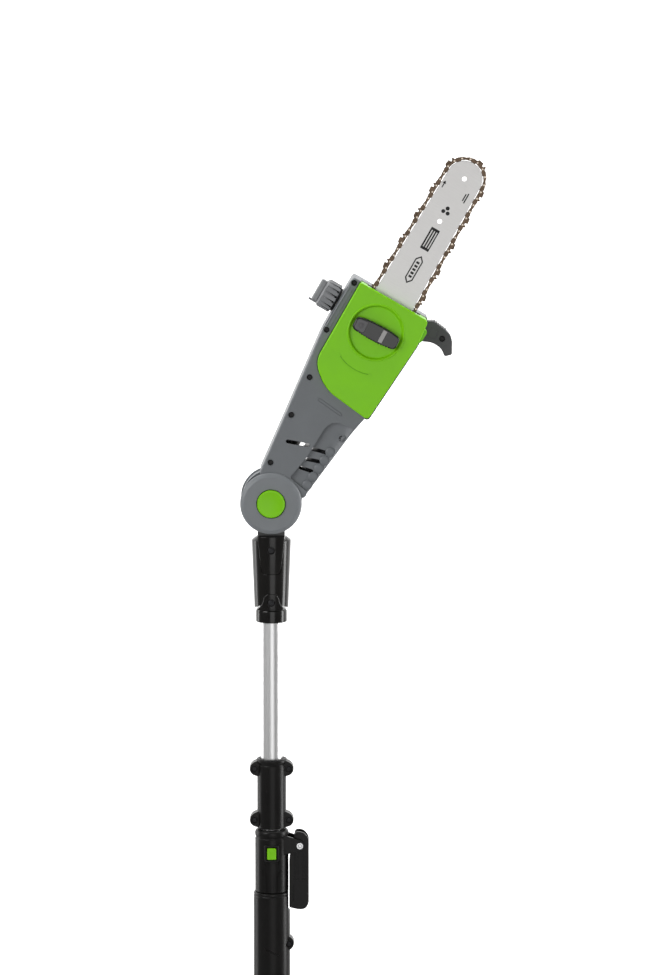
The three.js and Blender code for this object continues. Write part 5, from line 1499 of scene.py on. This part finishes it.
lifted_rivets = [
    chain_frame(rivet_step * index - 0.6, rivet_step * index + 0.6) for index in range(rivet_count)
]
hung(
    "chain_rivets",
    strung(at_height(rivet_shape, 2.55), lifted_rivets),
    rivet_steel,
    "bar_carriage",
    place=head_place
)

# ---- branch hook ----
# A moulded claw on the head's right shoulder, toothed along its back, that pulls cut branches
# clear; it is coloured a darker grey than the housing as painted shade. Its root sits in the rear shell and one
# screw crosses its knuckle.
hook_points = [
    (58.6, 304.5, 1.5), (64, 308.2, 2), (88.7, 305.2, 4.6), (97.2, 300.4, 4.6), (107.4, 282.4, 2), (100, 275.4, 2.5),
    (92.5, 281.6, 4), (83.4, 283.5, 5), (74.3, 282.3, 4), (64.2, 277.3, 4), (58.6, 279, 1.5),
]
hook_steps = [
    ("UNION", box((42, 62), (2, 13), (281, 303))),
    ("DIFFERENCE", peg(4.2, -RUN, -3.4, (85.8, 294), sides=40))
]
for index in range(6):
    along_x = 65.2 + 3.4 * index
    tooth = plate([(-1.5, 0.2), (1.6, 0.2), (1.9, 2.4, 0.2), (0.9, 2.1, 0.3)], -6.2, 14.2, steps=2)
    bmesh.ops.translate(
        tooth, verts=tooth.verts, vec=(along_x * MM, 0, (307.6 - (along_x - 64) * 0.118 - 0.5) * MM)
    )
    hook_steps = [("UNION", tooth)] + hook_steps
hook_steps += [("DIFFERENCE", shaped(
    plate([(66, 287, 2), (78, 287.6, 3), (78, 300, 3), (66, 302, 2)], -RUN, -6.4, steps=5),
    (
        "DIFFERENCE",
        plate([(67.2, 288.2, 2), (76.8, 288.8, 2), (76.8, 298.9, 2), (67.2, 300.8, 2)], -RUN, 0, steps=5)
    ),
))]
# Painted shade: the hook's grey is darker than the housing's to stand for the shade it lies in.
hook_grey_painted_shade = moulded(
    "hook_grey_plastic_painted_shade", (0.062, 0.063, 0.066), 0.42, grain=0.0008, depth=0.1, drift=0.08
)
hook_body = shaped(pad(hook_points, -7, 15, 1.1), *hook_steps)
hung("hook_claw", hook_body, hook_grey_painted_shade, "head", ["branch_hook"], place=head_place)
# The hook's screw is coloured near black as painted shadow, so that it reads like a deep screw hole.
hung(
    "hook_claw_screw",
    screw(-4.0, (85.8, 294), radius=3.5),
    painted_shadow_black,
    "head",
    ["hook_screw"],
    place=head_place
)

# ---- oil filler ----
# A fluted grey cap with a raised finger bar closes the neck of the chain oil tank, which lies under the
# left shoulder, with a black seal between them.
filler_place = head_place @ Matrix.Translation((0, 8 * MM, 268.5 * MM)) @ Matrix.Rotation(
    math.radians(-90), 4, "Z"
)

cap_base = -59.0
cap_profile = [
    (12.6, cap_base + 0.2), (19.0, cap_base + 0.2), (19.4, cap_base - 0.4), (
        19.4, cap_base - 16.2
    ), (18.6, cap_base - 18.4),
    (16.4, cap_base - 19.6), (0, cap_base - 19.8),
]
cap_steps = [
    ("UNION", softened(box((-7, 7), (cap_base - 27.4, cap_base - 19), (-15, 15)), 2.2, steps=4, angle=60))
]
for index in range(16):
    turn = math.tau * (index + 0.5) / 16
    cap_steps += [
        (
            "DIFFERENCE",
            peg(
                1.5, cap_base - 30, cap_base - 3.5, (20.2 * math.cos(turn), 20.2 * math.sin(turn)), sides=16
            )
        )
    ]
cap_steps += [
    ("DIFFERENCE", box((-4.6, 4.6), (cap_base - 24, cap_base - 20.6), (-30, -12.4))),
    ("UNION", peg(9.2, cap_base - 1, -47.8, (0, 0))),
    (
        "DIFFERENCE",
        shaped(peg(12.4, cap_base - 3, -40, (0, 0)), ("DIFFERENCE", peg(9.2, -RUN * 2, 0, (0, 0))))
    ),
]
cap_grey = moulded("oil_cap_grey_plastic", (0.222, 0.228, 0.236), 0.36, grain=0.0008, depth=0.1, drift=0.07)
hung(
    "oil_filler_cap",
    softened(shaped(turned(cap_profile), *cap_steps), 0.35),
    cap_grey,
    "filler_cap",
    ["oil_cap"],
    place=filler_place
)
seal = turned(
    [
        (12.4, cap_base + 0.4), (15.6, cap_base + 0.4), (16, cap_base + 0.8), (16, -56.3), (15.6, -55.9),
        (12.4, -55.9), (12.4, cap_base + 0.4)
    ]
)
hung("oil_cap_seal", seal, black_rubber, "head", ["cap_seal"], place=filler_place)

# ---- rear handle ----
# Two moulded halves round the lower end of the outer tube: a slim grip above a battery bay, with a
# rubber overlay on the grip, and screws at the front that draw the halves together.
grip_points = [
    (-36, -1358, 10), (-19.4, -1322, 24), (-19, -1220, 13), (-22, -1196, 10), (-21, -1150, 9), (21, -1150, 9),
    (22, -1196, 10), (19, -1220, 13), (19.4, -1322, 24), (36, -1358, 10), (38, -1390), (-38, -1390),
]
bay_points = [(-42, -1480, 5), (42, -1480, 5), (42, -1358, 9), (-42, -1358, 9)]


def lowered(bm):
    """Take a turned shape back down, so that it can be cut with shapes not yet raised."""
    bmesh.ops.translate(bm, verts=bm.verts, vec=(0, 0, -pivot.z))
    return bm


def handle_half(front):
    low, high = (-RUN, -HALF_GAP) if front else (HALF_GAP, RUN)
    grip_body = pad(grip_points, -18, 18, 6.5, steps=6)
    bay = pad(bay_points, -37, 37, 4, steps=5)
    barrel = lowered(
        spun(
            [
                (0, -1222), (19, -1222), (21.2, -1216), (21.2, -1152.5), (20.4, -1150.5), (19, -1150),
                (0, -1150)
            ]
        )
    )
    steps = [
        ("UNION", bay),
        ("UNION", barrel),
        ("DIFFERENCE", box((-15.5, 15.5), (-14, 14), (-1328, -1224))),
        ("DIFFERENCE", box((-37.2, 37.2), (-31.7, 31.7), (-1500, -1364))),
        ("DIFFERENCE", box((-8, 8), (-8, 8), (-1380, -1320))),
        (
            "DIFFERENCE",
            lowered(
                spun([(0, -1240), (10, -1240), (10, -1210.4), (17.4, -1210.4), (17.4, -1140), (0, -1140)])
            )
        ),
        ("DIFFERENCE", box((6, 60), (-6.4, 6.4), (-1301, -1233))),
        ("DIFFERENCE", box((-60, -6), (-5.4, 5.4), (-1263, -1239))),
        ("DIFFERENCE", box((-60, -36), (-9.4, 9.4), (-1420.4, -1389.6))),
        ("DIFFERENCE", peg(2.2, -16.5, 16.5, (15, -1242), sides=24)),
    ]
    for count in range(7):
        z = -1470 + 13 * count
        for side in (-1, 1):
            groove = box((side * 42 - 0.9, side * 42 + 0.9), (-22, 22), (z - 1.1, z + 1.1))
            if side > 0 or z < -1424 or z > -1386:
                steps += [("DIFFERENCE", groove)]
    if front:
        steps += [("DIFFERENCE", peg(4.3, -RUN, -14.4, place)) for place in ((0, -1336), (-14, -1216))]
    steps += [("INTERSECT", box((-RUN, RUN), (low, high), (-1500, -1100)))]
    return lifted(softened(shaped(grip_body, *steps), 0.3, steps=1))


hung("handle_shell_front", handle_half(True), black_satin, "handle", ["handle_front"], sharp=35)
hung("handle_shell_rear", handle_half(False), black_satin, "handle", ["handle_rear"], sharp=35)
for index, place in enumerate(((0, -1336), (-14, -1216))):
    hung(f"handle_screw_{index + 1}", lifted(screw(-14.6, place, radius=3.6)), dark_screw_steel, "handle")
for side_name, side in (("front", -1), ("rear", 1)):
    for index in range(9):
        z = -1316 + 10 * index
        near, far = sorted((side * 17.6, side * 18.6))
        band = softened(bar_slot((-10, z), (10, z + 3), 2.6, near, far), 0.35)
        hung(f"grip_band_{side_name}_{index}", lifted(band), black_rubber, "handle")

# ---- trigger and lock-off ----
# A curved finger trigger on a steel pin at the grip's right, and a green lock-off key on its left that
# must be pressed first. The switch lies between them inside the grip.
trigger_points = [
    (11, -1247, 2), (11, -1237, 3), (19, -1236, 3), (24, -1244, 4), (24, -1264, 10), (28, -1292, 5), (22, -1298, 3), (16, -1292, 3), (15, -1267, 6),
]
trigger_steps = [("DIFFERENCE", peg(2.2, -RUN, RUN, (15, -1242), sides=24))]
for index in range(4):
    z = -1260 - 8 * index
    trigger_steps += [
        ("DIFFERENCE", box((23.6 + 0.1 * abs(z + 1262), 40), (-RUN, RUN), (z - 0.5, z + 0.5)))
    ]
trigger_shape = shaped(pad(trigger_points, -6, 6, 1.3), *trigger_steps)
hung("finger_trigger", lifted(trigger_shape), gloss_black, "trigger", ["trigger"])
hung(
    "trigger_pivot_pin",
    lifted(softened(peg(1.9, -16, 16, (15, -1242), sides=24), 0.3)),
    bright_steel,
    "handle",
    ["trigger_pin"]
)
lock_low, lock_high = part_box("lock_off_button")
lock_body = box(*[[low / MM, high / MM] for low, high in zip(lock_low, lock_high)])
lock_steps = []
for index in range(4):
    z = 221.5 + 5 * index
    lock_steps += [("DIFFERENCE", box((-30, -22.3), (-RUN, RUN), (z - 0.6, z + 0.6)))]
hung(
    "lock_off_key",
    shaped(softened(lock_body, 1.0, steps=3), *lock_steps),
    green_gloss,
    "lock_off",
    ["lock_off_button"]
)

# ---- battery ----
# The slide-in pack closes the handle's lower end. Its latch key on the left springs into the bay's wall,
# and the terminal block above it carries the contact blades.
pack_low, pack_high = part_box("battery_pack")
pack = softened(box(*[[low / MM, high / MM] for low, high in zip(pack_low, pack_high)]), 2.6, steps=4)
pack_steps = [("DIFFERENCE", softened(box((-14, 14), (-60, pack_low[1] / MM + 4), (-8, 10)), 1.5, steps=3))]
for side in (-1, 1):
    near, far = sorted((side * (pack_high[0] / MM + 0.5), side * (pack_high[0] / MM - 3.2)))
    pack_steps += [("DIFFERENCE", box((near, far), (9.8, 14.2), (20, 120)))]
for index in range(5):
    x = -18 + 9 * index
    pack_steps += [("DIFFERENCE", box((x - 1.4, x + 1.4), (-9, 9), (pack_high[2] / MM - 7, 120)))]
pack_steps += [
    (
        "DIFFERENCE",
        shaped(
            box((-30, 30), (-24, 24), (-2, 0.6)), ("DIFFERENCE", box((-28.8, 28.8), (-22.8, 22.8), (-3, 3)))
        )
    )
]
hung("battery_case", shaped(pack, *pack_steps), black_satin, "battery", ["battery_pack"])
latch_low, latch_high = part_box("battery_latch")
latch = softened(box(*[[low / MM, high / MM] for low, high in zip(latch_low, latch_high)]), 0.9, steps=3)
latch_steps = [
    (
        "DIFFERENCE",
        box((-60, latch_low[0] / MM + 0.7), (-6, 6), (66 + 6 * index - 0.8, 66 + 6 * index + 0.8))
    ) for index in range(4)
]
hung("battery_latch_key", shaped(latch, *latch_steps), green_gloss, "latch", ["battery_latch"])

# ---- inner works ----
# The motor, gears, oil tank and electrical pieces inside the shells keep their engineering shapes, each
# in the material that the real piece is made of.
tank_plastic = moulded("natural_tank_plastic", (0.62, 0.60, 0.50), 0.5, grain=0.0008, depth=0.08)
cast_alloy = moulded("die_cast_alloy", (0.40, 0.41, 0.42), 0.5, grain=0.0005, depth=0.25)
dark_plastic = moulded("dark_inner_plastic", (0.025, 0.026, 0.028), 0.5, grain=0.0007, depth=0.1)
machined_steel = drawn_metal("machined_steel", (0.50, 0.50, 0.50), 0.3, lines=(400, 400, 400), contrast=0.1)
inner_works = {
    tank_plastic: ["oil_tank"],
    cast_alloy: ["oil_pump", "spindle_bearing", "lock_key"],
    dark_plastic: ["motor_end_bell", "terminal_block", "trigger_switch"],
    dark_steel: ["drive_sprocket", "drive_gear", "tension_screw"],
    machined_steel: ["motor_can", "motor_rotor", "drive_spindle", "bar_stud", "pivot_bolt", "tilt_spring"],
}
for material, node_names in inner_works.items():
    for node_name in node_names:
        frame["nodes"][node_name].data.materials.clear()
        frame["nodes"][node_name].data.materials.append(material)
